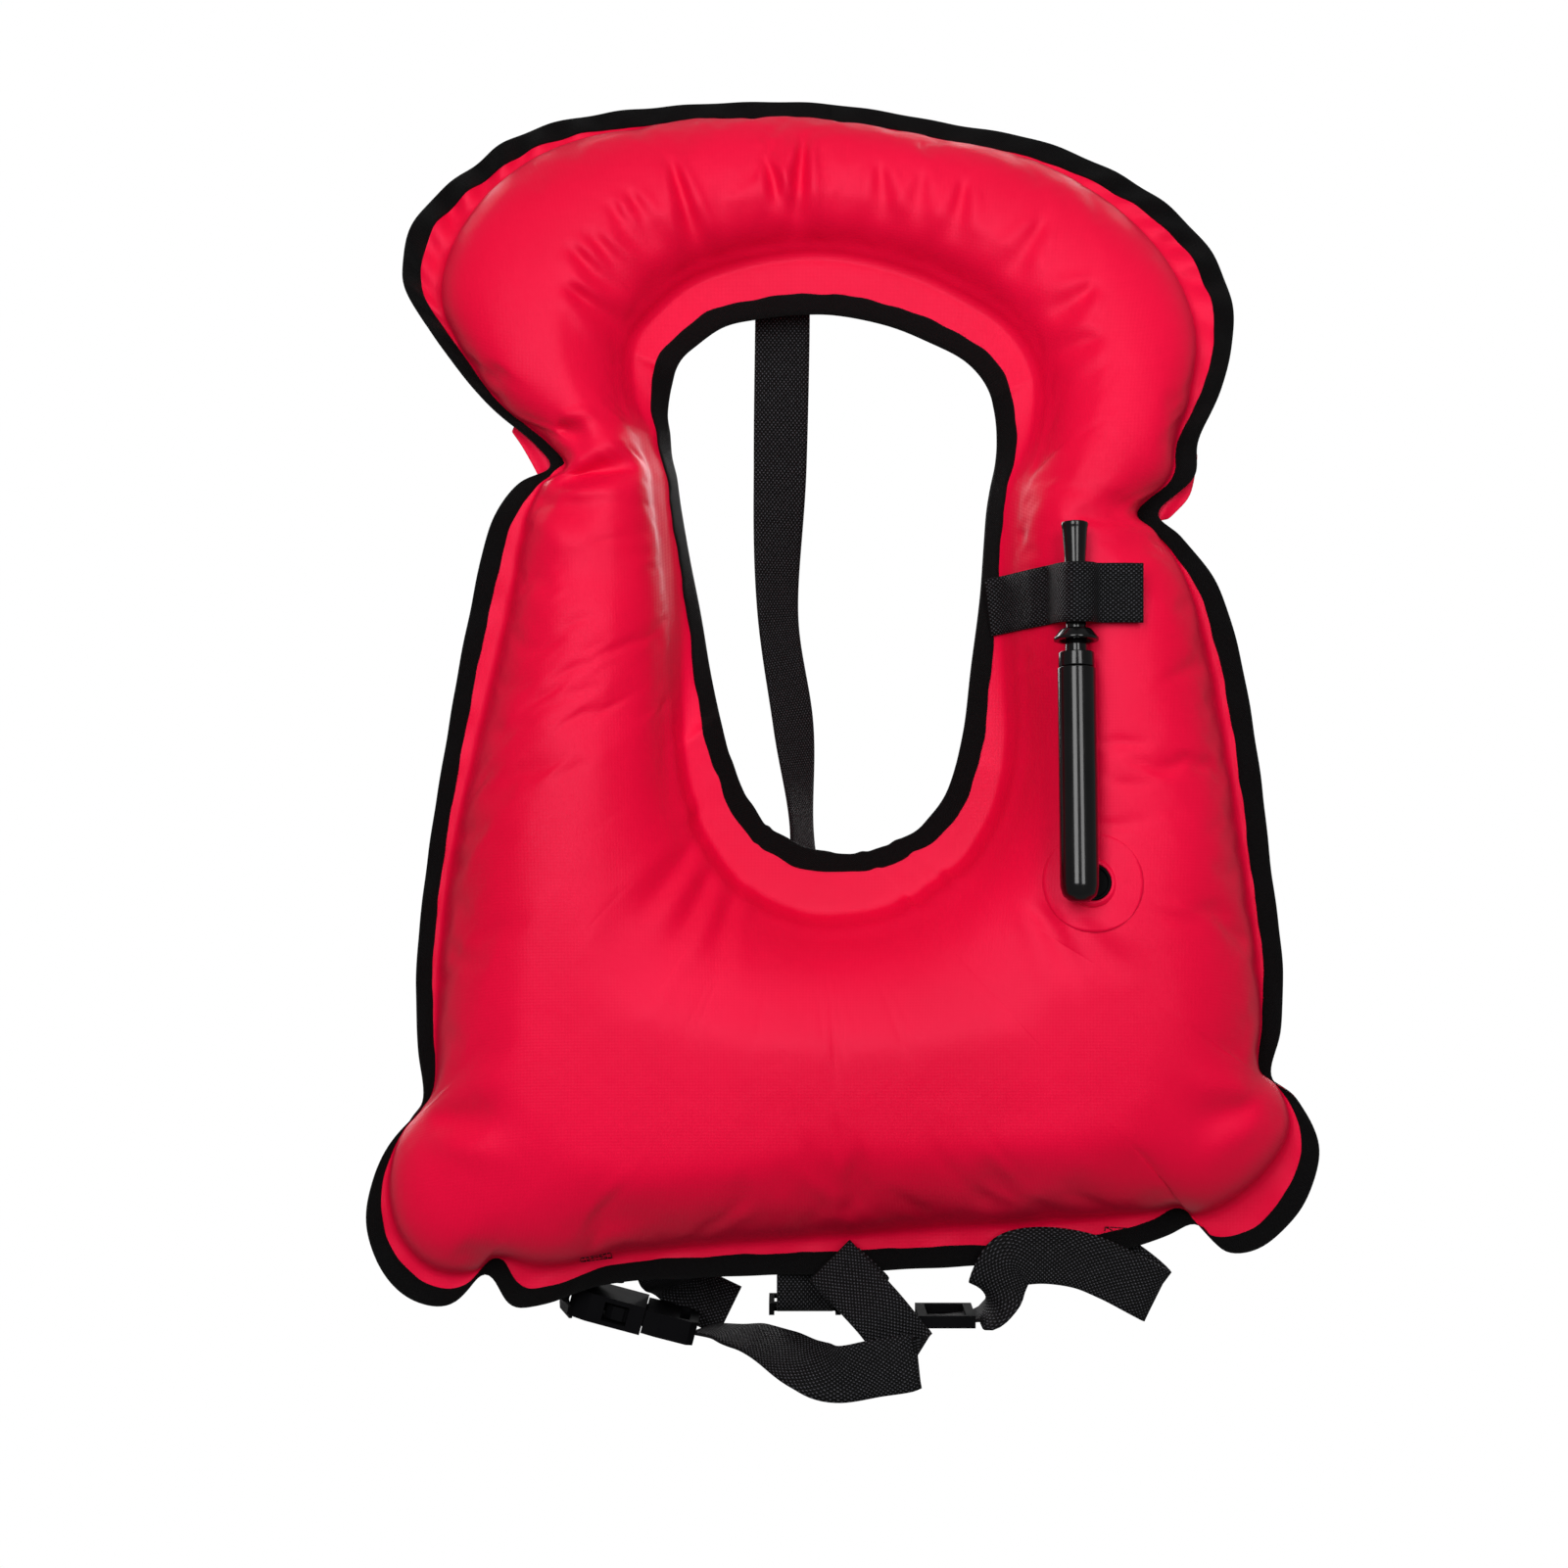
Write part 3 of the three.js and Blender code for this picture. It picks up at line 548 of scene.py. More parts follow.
def ramp(tree, factor, stops):
    item = add_node(tree, "ShaderNodeValToRGB", {"Fac": factor})
    elements = item.color_ramp.elements
    while len(elements) < len(stops):
        elements.new(0.5)
    for element, (place, colour) in zip(elements, stops):
        element.position = place
        element.color = (*colour, 1)
    return item.outputs["Color"]


def math_node(tree, operation, *values):
    inputs = dict(enumerate(values))
    return add_node(tree, "ShaderNodeMath", inputs, operation=operation).outputs[0]


def noise_node(tree, place, scale, detail):
    inputs = {"Vector": place, "Scale": scale, "Detail": detail}
    return add_node(tree, "ShaderNodeTexNoise", inputs).outputs["Fac"]


def set_inputs(shader, values):
    for name, value in values.items():
        shader.inputs[name].default_value = value


def nylon_material():
    material, tree, shader = node_material("red_coated_nylon")
    place = add_node(tree, "ShaderNodeTexCoord").outputs["Object"]
    cloudy = noise_node(tree, place, 9.0, 3.0)
    colour = ramp(tree, cloudy, [(0.3, (0.62, 0.0008, 0.027)), (0.7, (0.72, 0.0014, 0.036))])
    tree.links.new(colour, shader.inputs["Base Color"])
    threads = []
    for direction in ("X", "Z"):
        wave = add_node(tree, "ShaderNodeTexWave",
                        {"Vector": place, "Scale": 520.0, "Distortion": 0.6, "Detail": 1.0,
                         "Detail Scale": 2.0}, wave_type="BANDS", bands_direction=direction)
        threads.append(wave.outputs["Fac"])
    weave = math_node(tree, "ADD", *threads)
    grain = noise_node(tree, place, 900.0, 2.0)
    mixed = math_node(tree, "MULTIPLY_ADD", grain, 0.8, weave)
    fine = add_node(tree, "ShaderNodeBump", {"Height": mixed, "Strength": 0.16, "Distance": 0.0003})
    dents = noise_node(tree, place, 38.0, 2.0)
    soft = add_node(tree, "ShaderNodeBump", {"Height": dents, "Strength": 0.25,
                                             "Distance": 0.0025, "Normal": fine.outputs["Normal"]})
    tree.links.new(soft.outputs["Normal"], shader.inputs["Normal"])
    rough = math_node(tree, "MULTIPLY_ADD", cloudy, 0.1, 0.36)
    tree.links.new(rough, shader.inputs["Roughness"])
    set_inputs(shader, {
        "IOR": 1.35, "Specular IOR Level": 0.62, "Specular Tint": (1.0, 0.26, 0.42, 1),
        "Sheen Weight": 0.02, "Sheen Roughness": 0.35, "Sheen Tint": (1.0, 0.25, 0.42, 1),
    })
    return material


def webbing_material(name, base, pitch_along, pitch_across, painted_glint_gain):
    """Woven tape with staggered knots, with a painted highlight on the knots' tops and painted
    shade between them. Its UV map runs in millimetres, u along it and v across.
    """
    material, tree, shader = node_material(name)
    uv = add_node(tree, "ShaderNodeUVMap").outputs["UV"]
    fuzz = noise_node(tree, uv, 0.9, 3.0)
    parts = add_node(tree, "ShaderNodeSeparateXYZ", {"Vector": uv})
    waves = []
    for axis, pitch in (("X", pitch_along), ("Y", pitch_across)):
        shifted = math_node(tree, "MULTIPLY_ADD", fuzz, pitch * 0.35, parts.outputs[axis])
        angle = math_node(tree, "MULTIPLY", shifted, TAU / pitch)
        waves.append(math_node(tree, "COSINE", angle))
    product = math_node(tree, "MULTIPLY", waves[0], waves[1])
    knots = math_node(tree, "MULTIPLY_ADD", product, 0.5, 0.5)
    # Painted shade: the gaps between the knots get half the base colour.
    dark = [c * 0.5 for c in base]
    # Painted highlight: the knots' tops get a colour many times brighter than the base.
    light = [c * painted_glint_gain for c in base]
    colour = ramp(tree, knots, [(0.25, dark), (0.66, base), (0.97, light)])
    tree.links.new(colour, shader.inputs["Base Color"])
    height = math_node(tree, "MULTIPLY_ADD", fuzz, 0.4, knots)
    bump = add_node(tree, "ShaderNodeBump", {"Height": height, "Strength": 0.9, "Distance": 0.0006})
    tree.links.new(bump.outputs["Normal"], shader.inputs["Normal"])
    rough = math_node(tree, "MULTIPLY_ADD", fuzz, 0.2, 0.5)
    tree.links.new(rough, shader.inputs["Roughness"])
    set_inputs(shader, {"Specular IOR Level": 0.1, "Sheen Weight": 0.008, "Sheen Roughness": 0.5})
    return material


def plastic_material(name, base, roughness, pit_scale, pit_strength, coat=0.0, specular=0.12,
                     ior=1.5):
    material, tree, shader = node_material(name)
    place = add_node(tree, "ShaderNodeTexCoord").outputs["Object"]
    cloudy = noise_node(tree, place, 60.0, 3.0)
    dark = [c * 0.8 for c in base]
    light = [c * 1.25 for c in base]
    colour = ramp(tree, cloudy, [(0.3, dark), (0.7, light)])
    tree.links.new(colour, shader.inputs["Base Color"])
    pits = noise_node(tree, place, pit_scale, 2.0)
    bump = add_node(tree, "ShaderNodeBump", {"Height": pits, "Strength": pit_strength,
                                             "Distance": 0.0002})
    tree.links.new(bump.outputs["Normal"], shader.inputs["Normal"])
    rough = math_node(tree, "MULTIPLY_ADD", cloudy, 0.1, roughness - 0.05)
    tree.links.new(rough, shader.inputs["Roughness"])
    set_inputs(shader, {"Specular IOR Level": specular, "IOR": ior, "Coat Weight": coat,
                        "Coat Roughness": 0.08})
    return material


def steel_material():
    material, tree, shader = node_material("spring_wire")
    place = add_node(tree, "ShaderNodeTexCoord").outputs["Object"]
    drawn = noise_node(tree, place, 400.0, 3.0)
    colour = ramp(tree, drawn, [(0.3, (0.42, 0.43, 0.45)), (0.7, (0.62, 0.63, 0.65))])
    tree.links.new(colour, shader.inputs["Base Color"])
    rough = math_node(tree, "MULTIPLY_ADD", drawn, 0.2, 0.2)
    tree.links.new(rough, shader.inputs["Roughness"])
    shader.inputs["Metallic"].default_value = 1.0
    return material


NYLON = nylon_material()
# The last number is how much brighter the painted highlight on the knots is than the base.
WEBBING = webbing_material("black_webbing", (0.0022, 0.0022, 0.0025), 2.2, 1.8, 25.0)
TAPE = webbing_material("edge_tape", (0.0018, 0.0018, 0.002), 1.0, 0.8, 2.0)
PILE = plastic_material("hook_and_loop_pile", (0.010, 0.010, 0.011), 0.95, 1800.0, 1.0)
GLOSS = plastic_material("gloss_black_plastic", (0.0018, 0.0018, 0.002), 0.2, 500.0, 0.03,
                         0.3, 0.2)
SATIN = plastic_material("satin_black_acetal", (0.0022, 0.0022, 0.0026), 0.55, 1500.0, 0.12,
                         0.0, 0.3, 1.12)
RUBBER = plastic_material("seal_rubber", (0.008, 0.008, 0.008), 0.7, 700.0, 0.3)
STEEL = steel_material()
THREAD_BLACK = plastic_material("sewing_thread", (0.006, 0.005, 0.006), 0.6, 2500.0, 0.6)


def paint(piece, material):
    piece.data.materials.clear()
    piece.data.materials.append(material)


paint(front_skin, NYLON)
paint(back_skin, NYLON)

# -------- swept tapes


def unit(vectors):
    return vectors / np.maximum(np.linalg.norm(vectors, axis=-1, keepdims=True), 1e-9)


def set_uv(piece, uv):
    layer = piece.data.uv_layers.new(name="UVMap")
    loops = np.empty(len(piece.data.loops), dtype=np.int32)
    piece.data.loops.foreach_get("vertex_index", loops)
    layer.data.foreach_set("uv", np.asarray(uv, dtype=np.float32)[loops].ravel())


def along_columns(grid, distance, wanted):
    """Points of a grid at wanted distances along each of its columns."""
    out = np.empty((len(grid), wanted.shape[1], 3))
    for i in range(len(grid)):
        for axis in range(3):
            out[i, :, axis] = np.interp(wanted[i], distance[i], grid[i, :, axis])
    return out


TAPE_WIDTH = 9.3
TAPE_HALF = 1.1                # half of the folded tape's thickness


def face_outward(piece):
    mesh = bmesh.new()
    mesh.from_mesh(piece.data)
    bmesh.ops.recalc_face_normals(mesh, faces=mesh.faces)
    mesh.to_mesh(piece.data)
    mesh.free()


def edge_tape(name, node, at_neck):
    """Tape folded round both panels' edges, with slightly wavy borders."""
    middle = np.stack([flat_x, seam_y, flat_z], axis=2)
    distance = inward
    weld_room = outer_weld - 0.5
    if at_neck:
        middle = middle[:, ::-1]
        distance = (inward[:, -1:] - inward)[:, ::-1]
        weld_room = np.full(AROUND, 20.0)
    reach = np.clip(weld_room, 4.5, TAPE_WIDTH)
    if at_neck:
        reach = reach * ribs[:, 4] / np.hypot(ribs[:, 4], flare[:, -1])
    edge = middle[:, 0]
    along = np.concatenate([[0], np.cumsum(np.linalg.norm(np.diff(edge, axis=0), axis=1))])
    reach_front = reach + 0.35 * np.sin(along / 5.3) + 0.2 * np.sin(along / 2.1 + 1)
    reach_back = reach + 0.35 * np.sin(along / 4.7 + 2)
    lifts = [0.5, 0.85, TAPE_HALF, TAPE_HALF, TAPE_HALF, TAPE_HALF, TAPE_HALF - 0.5]
    depths = []
    for limit in (reach_front, reach_back):
        steps = [np.full(AROUND, d) for d in (-0.4, 0.1)]
        steps += [limit * share for share in (0.12, 0.4, 0.7)] + [limit, limit]
        depths.append(np.stack(steps, axis=1))
    tangent = unit(np.roll(edge, -1, axis=0) - np.roll(edge, 1, axis=0))
    inside = along_columns(middle, distance, np.full((AROUND, 1), 4.0))[:, 0] - edge
    for _ in range(2):
        inside = unit(np.roll(inside, 1, axis=0) + 2 * unit(inside) + np.roll(inside, -1, axis=0))
    normal = unit(np.cross(inside, tangent))
    normal = np.where(normal[:, 1:2] > 0, normal, -normal)
    for _ in range(2):
        normal = unit(np.roll(normal, 1, axis=0) + 2 * normal + np.roll(normal, -1, axis=0))
    columns, uv = [], []
    for side, depth in ((-1, depths[0]), (1, depths[1][:, ::-1])):
        surface = along_columns(middle, distance, np.maximum(depth, 0))
        surface += unit(inside)[:, None] * np.minimum(depth, 0)[:, :, None]
        heights = np.array(lifts if side < 0 else lifts[::-1])
        columns.append(surface + side * normal[:, None] * heights[None, :, None])
        uv.append(np.stack([np.repeat(along[:, None], depth.shape[1], axis=1),
                            (depth if side < 0 else -depth)], axis=2))
    grid = np.concatenate(columns, axis=1)
    faces = [(a, d, c, b) for a, b, c, d in tube_faces(AROUND, grid.shape[1], True)]
    piece = mesh_object(name, grid.reshape(-1, 3) * MM, faces)
    set_uv(piece, np.concatenate(uv, axis=1).reshape(-1, 2))
    face_outward(piece)
    subdivide(piece, 1)
    paint(piece, TAPE)
    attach(piece, "vest")
    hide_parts(node)


edge_tape("outer_tape", "outer_binding", False)
edge_tape("neck_tape", "neck_binding", True)

# -------- folds behind the side notches

# Each fold is a chord across a notch and the points of the bound edge that it hangs from: x and z.
LEFT_FOLD = [[(-143, -50), (-139, -55), (-135, -62), (-131, -69), (-128, -76)],
             [(-141, -46), (-131, -53), (-121, -62), (-119, -69), (-126, -77)]]
RIGHT_FOLD = [[(163, -60), (161, -71), (159, -80), (154, -85), (149, -90)],
              [(157, -57), (153, -69), (146, -79), (140, -86), (141, -92)]]


FOLD_STEPS = 6
FOLD_THICK = 0.5


def notch_fold(name, fold, depth):
    """Red fabric folded in behind a side notch, hanging from the bound edge."""
    rings = []
    for chord, edge in zip(*fold):
        strip = []
        for k in range(FOLD_STEPS + 1):
            t = k / FOLD_STEPS
            x, z = chord[0] + (edge[0] - chord[0]) * t, chord[1] + (edge[1] - chord[1]) * t
            y = float(middle_y(z)) + depth + 2.2 * (1 - t) ** 2 + 0.4 * math.sin(9 * t)
            strip.append((x, y, z))
        rings.append(strip + [(x, y + FOLD_THICK, z) for x, y, z in strip[::-1]])
    width = len(rings[0])
    points = np.array([p for ring in rings for p in ring]) * MM
    faces = tube_faces(len(rings), width, False)
    for first in (0, (len(rings) - 1) * width):
        for r in range(FOLD_STEPS):
            faces.append((first + r, first + r + 1, first + width - 2 - r, first + width - 1 - r))
    piece = mesh_object(name, points, faces)
    face_outward(piece)
    subdivide(piece, 2)
    paint(piece, NYLON)
    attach(piece, "vest")


notch_fold("left_notch_fold", LEFT_FOLD, 2.6)
notch_fold("right_notch_fold", RIGHT_FOLD, 2.6)

# -------- straps

WEB = 12.5                     # half of the webbing's width
WEB_THICK = 1.4


def open_spline(rows, step):
    """Samples an open spline through the rows every few millimetres."""
    rows = np.asarray(rows, dtype=float)
    padded = np.vstack([2 * rows[0] - rows[1], rows, 2 * rows[-1] - rows[-2]])
    out = []
    for i in range(1, len(padded) - 2):
        p = padded[i - 1:i + 3]
        steps = [max(np.linalg.norm(p[k + 1][:3] - p[k][:3]), 1e-6) ** 0.5 for k in range(3)]
        count = max(2, int(math.ceil(np.linalg.norm(p[2][:3] - p[1][:3]) / step)))
        out += [spline_point(p, steps, t) for t in np.arange(count) / count]
    out.append(padded[-2])
    return np.array(out)


STRAP_ACROSS = 8
UV_BACK = 40                   # the back face's place in the UV map, beside the front face's
STRAP_EDGE = 0.985             # how far out a strap's faces reach, as a share of its half width


def strap(name, rows, body, nodes, step=2.0, thickness=WEB_THICK, width=WEB, material=None):
    """Flat webbing. Each row is its middle and the direction of its half width.
    """
    line = open_spline(rows, step)
    middle = line[:, :3]
    half = line[:, 3:]
    tangent = unit(np.gradient(middle, axis=0))
    half = unit(half - tangent * (half * tangent).sum(axis=1, keepdims=True)) * width
    up = unit(np.cross(half, tangent)) * thickness / 2
    along = np.concatenate([[0], np.cumsum(np.linalg.norm(np.diff(middle, axis=0), axis=1))])
    across = np.linspace(-1, 1, STRAP_ACROSS + 1)
    flat = [a if abs(a) < 1 else a * STRAP_EDGE for a in across]
    section = [(a, 1.0) for a in flat] + [(1.0, 0.0)]
    section += [(a, -1.0) for a in flat[::-1]] + [(-1.0, 0.0)]
    grid = np.stack([middle + half * a + up * b for a, b in section], axis=1)
    uv = np.stack([np.stack([along, np.full(len(along), a * width + (UV_BACK if b < 0 else 0))],
                            axis=1) for a, b in section], axis=1)
    count = len(section)
    faces = tube_faces(len(middle), count, False)
    last = (len(middle) - 1) * count
    for k in range(STRAP_ACROSS):
        other = 2 * STRAP_ACROSS + 2 - k
        faces.append((k, other, other - 1, k + 1))
        faces.append((last + k, last + k + 1, last + other - 1, last + other))
    faces.append((0, count - 1, 2 * STRAP_ACROSS + 2))
    faces.append((last, last + 2 * STRAP_ACROSS + 2, last + count - 1))
    faces.append((STRAP_ACROSS, STRAP_ACROSS + 2, STRAP_ACROSS + 1))
    faces.append((last + STRAP_ACROSS, last + STRAP_ACROSS + 1, last + STRAP_ACROSS + 2))
    piece = mesh_object(name, grid.reshape(-1, 3) * MM, faces)
    set_uv(piece, uv.reshape(-1, 2))
    face_outward(piece)
    paint(piece, material or WEBBING)
    if body:
        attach(piece, body)
    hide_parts(*nodes)
    return piece


def surface_tree(piece):
    points = [v.co.copy() for v in piece.data.vertices]
    polygons = [tuple(p.vertices) for p in piece.data.polygons]
    return BVHTree.FromPolygons(points, polygons)


front_tree = surface_tree(front_skin)
RAY_FROM_Y = -400


def front_hit(x, z):
    """Point and normal of the front skin, as seen from the front."""
    return front_tree.ray_cast(Vector((x, RAY_FROM_Y, z)) * MM, Vector((0, 1, 0)))[:2]


def front_y(x, z):
    return front_hit(x, z)[0].y / MM


BACK_X = -12
BELT_Z = -441
BUCKLE_AT = (-88.7, -7, -443.5)

strap("back_webbing", [
    [-22, 18.5, 31, WEB, 0, 0],
    [-22, 16.5, 5, WEB, 0, 0],
    [-23, 18, -60, 12, 3, 0],
    [-24, 21, -130, 9, 8.7, 0],
    [-17, 24, -180, 9, 8.7, 0],
    [-13, 25, -230, 5, 11.4, 0],
    [-12, 25, -275, 10, 7.5, 0],
    [BACK_X, 23, -320, WEB, 0, 0],
    [BACK_X, 26, -400, WEB, 0, 0],
    [BACK_X, 28, -428, WEB, 0, 0],
    [BACK_X, 26, -437.5, WEB, 0, 0],
    [BACK_X, 20.5, -440.6, WEB, 0, 0],
    [BACK_X, -16.5, -440.6, WEB, 0, 0],
], "vest", ["back_strap"])

strap("hem_webbing", [
    [BACK_X, -24, -407.5, WEB, 0, 0],
    [BACK_X, -24, -422, WEB, 0, 0],
    [BACK_X, -24.5, -434, WEB, 0, 0],
    [BACK_X, -22.5, -439, WEB, 0, 0],
    [BACK_X, -17.5, -440.6, WEB, 0, 0],
], "vest", ["hem_tab"])

strap("belt_webbing_right", [
    [108, -24.6, -411, 2.5, 0, 12.2],
    [125, -24.6, -418.5, 4, 0, 11.8],
    [138, -25.6, -428, 5.1, 0, 11.3],
    [142.2, -29.5, -432, 5.1, 0, 11.3],
    [138, -34.2, -429.5, 5.1, 0, 11.3],
    [122, -35.6, -421, 4, 0, 11.8],
    [108, -35.8, -415.5, 3, 0, 12.1],
    [89, -35.8, -413.5, 0, 0, WEB],
    [78, -35.8, -416, -4, 0, 11.8],
    [73, -35.8, -424, -6.5, 0, 10.6],
    [71, -35, -430.5, -6, 1, 9.5],
    [69.3, -32, -436, -4, 9.5, 4.5],
    [66.5, -29.3, -439.5, -1, 12.4, 1],
    [63, HEM_Y, BELT_Z, 0, WEB, 0],
    [28, HEM_Y, BELT_Z, 0, WEB, 0],
    [23, -30.2, -438.5, 3, 11, 4],
    [16, -33.8, -432, 8, 2.5, 8],
    [10, -34.2, -426, 8.8, 0, 8.8],
    [3, -34.2, -419.5, 8.8, 0, 8.8],
], "vest", ["waist_belt_right"])

belt_left = strap("belt_webbing_left", [
    [-1.2, -35.2, -415.6, 8.8, 0, 8.8],
    [1.2, -36.8, -418, 8.8, 0, 8.8],
    [10, -41, -426.8, 8.8, 0, 8.8],
    [20, -46.2, -437, 8, 0, 9.6],
    [29, -47, -448, 4, 0, 11.8],
    [34.5, -47.2, -454.5, 1, 0, 11.6],
    [36.2, -49.2, -456.5, 0, 0, 11.5],
    [33.5, -51, -457.4, 0, 0, 11.5],
    [19, -50.6, -459.8, -1, 0, 12.2],
    [1, -47, -463.2, 0, 0, WEB],
    [-12, -41, -460, 1, 8, 9.2],
    [-24, -30, -455, 1, 10.9, 6],
    [-35, -21, -452, 1, 12, 3.4],
    [-46, -12, -451.5, 0.5, WEB, 1],
    [-57.5, BUCKLE_AT[1], -451, 0, WEB, 0],
], None, ["waist_belt_left"])
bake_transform(belt_left)

strap("tab_webbing_left", [
    [-103, -26.6, -419.5, WEB, 0, 1],
    [-103.5, -24.8, -423, WEB, 0, 0.5],
    [-104.5, -19, -427, 12.4, 0.5, 0],
    [-108.5, -12.5, -429.5, 10.5, 6.5, 0],
    [-114, -8.5, -432, 6, 11, 0],
    [-117.5, BUCKLE_AT[1], -435.5, 1, 12.4, 0],
    [-118.7, BUCKLE_AT[1], -439.5, -3, 12.1, 0],
    [-119, BUCKLE_AT[1], -444, -3, 12.1, 0],
], "vest", ["belt_tab_left"])

strap("backing_webbing", [
    [-75, -24.6, -413.5, 12.3, 0, 2],
    [-74, -22, -423, 12, 0, 3],
    [-72, -8, -430, 11.5, 0, 3],
    [-68, 11.5, -434, 10, 0, 6],
    [-62, 13.5, -439, 7, 0, 10],
    [-46, 13.5, -447, 4, 0, 10],
], "vest", ["buckle_backing_flap"])

# -------- keeper strap

KEEPER_Z = -126.5
KEEPER_HALF = 12.8
KEEPER_HINGE_X = 93.5
KEEPER_LIFT = 1.8


def keeper_clear(x, gap):
    """A y that stays a gap in front of the skin over the strap's whole width."""
    return min(front_y(x, KEEPER_Z + d) for d in (-KEEPER_HALF, 0, KEEPER_HALF)) - gap


FLAP_REST = 3.8                # the flap's middle above the skin, over both fastening patches
keeper_rows = [[x, keeper_clear(x, KEEPER_LIFT), KEEPER_Z + 1 - 0.15 * (KEEPER_HINGE_X - x)]
               for x in (69, 71.5, 74, 77, 80, 83, 86, 90)]
over_mouth = [(KEEPER_HINGE_X - 0.3, keeper_clear(KEEPER_HINGE_X, KEEPER_LIFT)), (95.5, -66.5),
              (98, -73), (101, -76.4), (105, -76.4), (109, -74), (112.6, -67.8)]
flap_rows = over_mouth + [(x, keeper_clear(x, FLAP_REST)) for x in (114.9, 119, 125, 132)]
keeper_rows += [[x, y, KEEPER_Z + 1] for x, y in flap_rows]
keeper = strap("keeper_webbing", [[*row, 0, 0, KEEPER_HALF] for row in keeper_rows], None,
               ["keeper_strap", "keeper_flap"], width=KEEPER_HALF, step=1.0)
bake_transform(keeper)

# -------- pieces that lie on the front

PATCH_GAP = 0.05


def skin_patch(name, place, thickness, rows, columns, node, material):
    """A thin patch over the front skin. place maps a row and a column share to x and z."""
    top, bottom = [], []
    for i in range(rows + 1):
        for j in range(columns + 1):
            x, z = place(i / rows, j / columns)
            y = front_y(x, z) - PATCH_GAP
            top.append((x * MM, (y - thickness) * MM, z * MM))
            bottom.append((x * MM, y * MM, z * MM))
    width = columns + 1
    faces = []
    for i in range(rows):
        for j in range(columns):
            a = i * width + j
            faces.append((a, a + 1, a + width + 1, a + width))
            b = a + len(top)
            faces.append((b, b + width, b + width + 1, b + 1))
    rim = list(range(width)) + [i * width + columns for i in range(1, rows + 1)]
    rim += [rows * width + j for j in range(columns - 1, -1, -1)]
    rim += [i * width for i in range(rows - 1, 0, -1)]
    for a, b in zip(rim, rim[1:] + rim[:1]):
        faces.append((b, a, a + len(top), b + len(top)))
    piece = mesh_object(name, top + bottom, faces)
    set_uv(piece, [(p[0] / MM, p[2] / MM) for p in top + bottom])
    face_outward(piece)
    paint(piece, material)
    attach(piece, "vest")
    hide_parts(node)


PORT_X = 110
PORT_Z = -249
PATCH_R = 21


def disc_place(share_a, share_b):
    """Square to disc, round the port."""
    a, b = 2 * share_a - 1, 2 * share_b - 1
    return (PORT_X + PATCH_R * a * math.sqrt(1 - b * b / 2),
            PORT_Z + PATCH_R * b * math.sqrt(1 - a * a / 2))


skin_patch("valve_disc", disc_place, 0.45, 28, 28, "valve_patch", NYLON)

HOOK_X = (117.5, 131)
HOOK_Z = (KEEPER_Z - 9.5, KEEPER_Z + 11.5)


def hook_place(share_a, share_b):
    return (HOOK_X[0] + (HOOK_X[1] - HOOK_X[0]) * share_a,
            HOOK_Z[0] + (HOOK_Z[1] - HOOK_Z[0]) * share_b)


HOOK_HALF = 10.5

skin_patch("loop_pile", hook_place, 0.9, 8, 12, "keeper_loop_patch", PILE)
hook_rows = [[x, keeper_clear(x, FLAP_REST - WEB_THICK / 2 - 0.5), KEEPER_Z + 1, 0, 0, HOOK_HALF]
             for x in (118, 124.5, 131)]
strap("hook_pile", hook_rows, "flap", ["keeper_hook_patch"], thickness=0.8, width=HOOK_HALF,
      material=PILE)

# -------- oral inflator

INFLATOR_AT = Vector((103, -85, -250))
INFLATOR_TILT = math.radians(7.6)
# The radii and heights below are along the inflator's own axis.
TUBE_R = 8.2
TUBE_BORE = 6.7
TUBE_BOTTOM = -7
TUBE_TOP = 93
STEM_R = 4.75
BORE_R = 3
MOUTH_TOP = 156
MOUTH_R = 5.8
NECK_R = 4.3
RING_BOTTOM = 104.7
RING_TOP = 109.8
LATHE_STEPS = 72


def rounded(profile, radius, steps=3):
    """Profile of (radius, height) points with its corners rounded off."""
    out = [profile[0]]
    for before, here, after in zip(profile, profile[1:], profile[2:]):
        corner = Vector(here)
        to_before, to_after = Vector(before) - corner, Vector(after) - corner
        cut = min(radius, 0.45 * to_before.length, 0.45 * to_after.length)
        start = corner + to_before.normalized() * cut
        end = corner + to_after.normalized() * cut
        for k in range(steps + 1):
            t = k / steps
            out.append(tuple((1 - t) ** 2 * start + 2 * t * (1 - t) * corner + t * t * end))
    out.append(profile[-1])
    return out


TILTED = (INFLATOR_AT, Vector((0, math.sin(INFLATOR_TILT), math.cos(INFLATOR_TILT))),
          Vector((0, math.cos(INFLATOR_TILT), -math.sin(INFLATOR_TILT))))


def turned(name, profile, body, node, material, axes=TILTED):
    """A solid of revolution. axes: its origin, its axis and a direction square to that and to x."""
    origin, axis_up, axis_side = axes
    points, faces = [], []
    rings = []
    for radius, height in profile:
        if radius < 1e-6:
            rings.append([len(points)] * LATHE_STEPS)
            points.append((origin + axis_up * height) * MM)
            continue
        ring = []
        for k in range(LATHE_STEPS):
            angle = TAU * k / LATHE_STEPS
            offset = Vector((radius * math.cos(angle), 0, 0))
            offset += axis_side * (radius * math.sin(angle))
            ring.append(len(points))
            points.append((origin + offset + axis_up * height) * MM)
        rings.append(ring)
    pairs = list(zip(rings, rings[1:]))
    if profile[0][0] > 1e-6 or profile[-1][0] > 1e-6:
        pairs.append((rings[-1], rings[0]))
    for low, high in pairs:
        for k in range(LATHE_STEPS):
            m = (k + 1) % LATHE_STEPS
            corners = []
            for v in (low[k], low[m], high[m], high[k]):
                if v not in corners:
                    corners.append(v)
            if len(corners) > 2:
                faces.append(tuple(corners))
    piece = mesh_object(name, points, faces)
    face_outward(piece)
    piece.data.set_sharp_from_angle(angle=math.radians(40))
    paint(piece, material)
    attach(piece, body)
    if node:
        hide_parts(node)


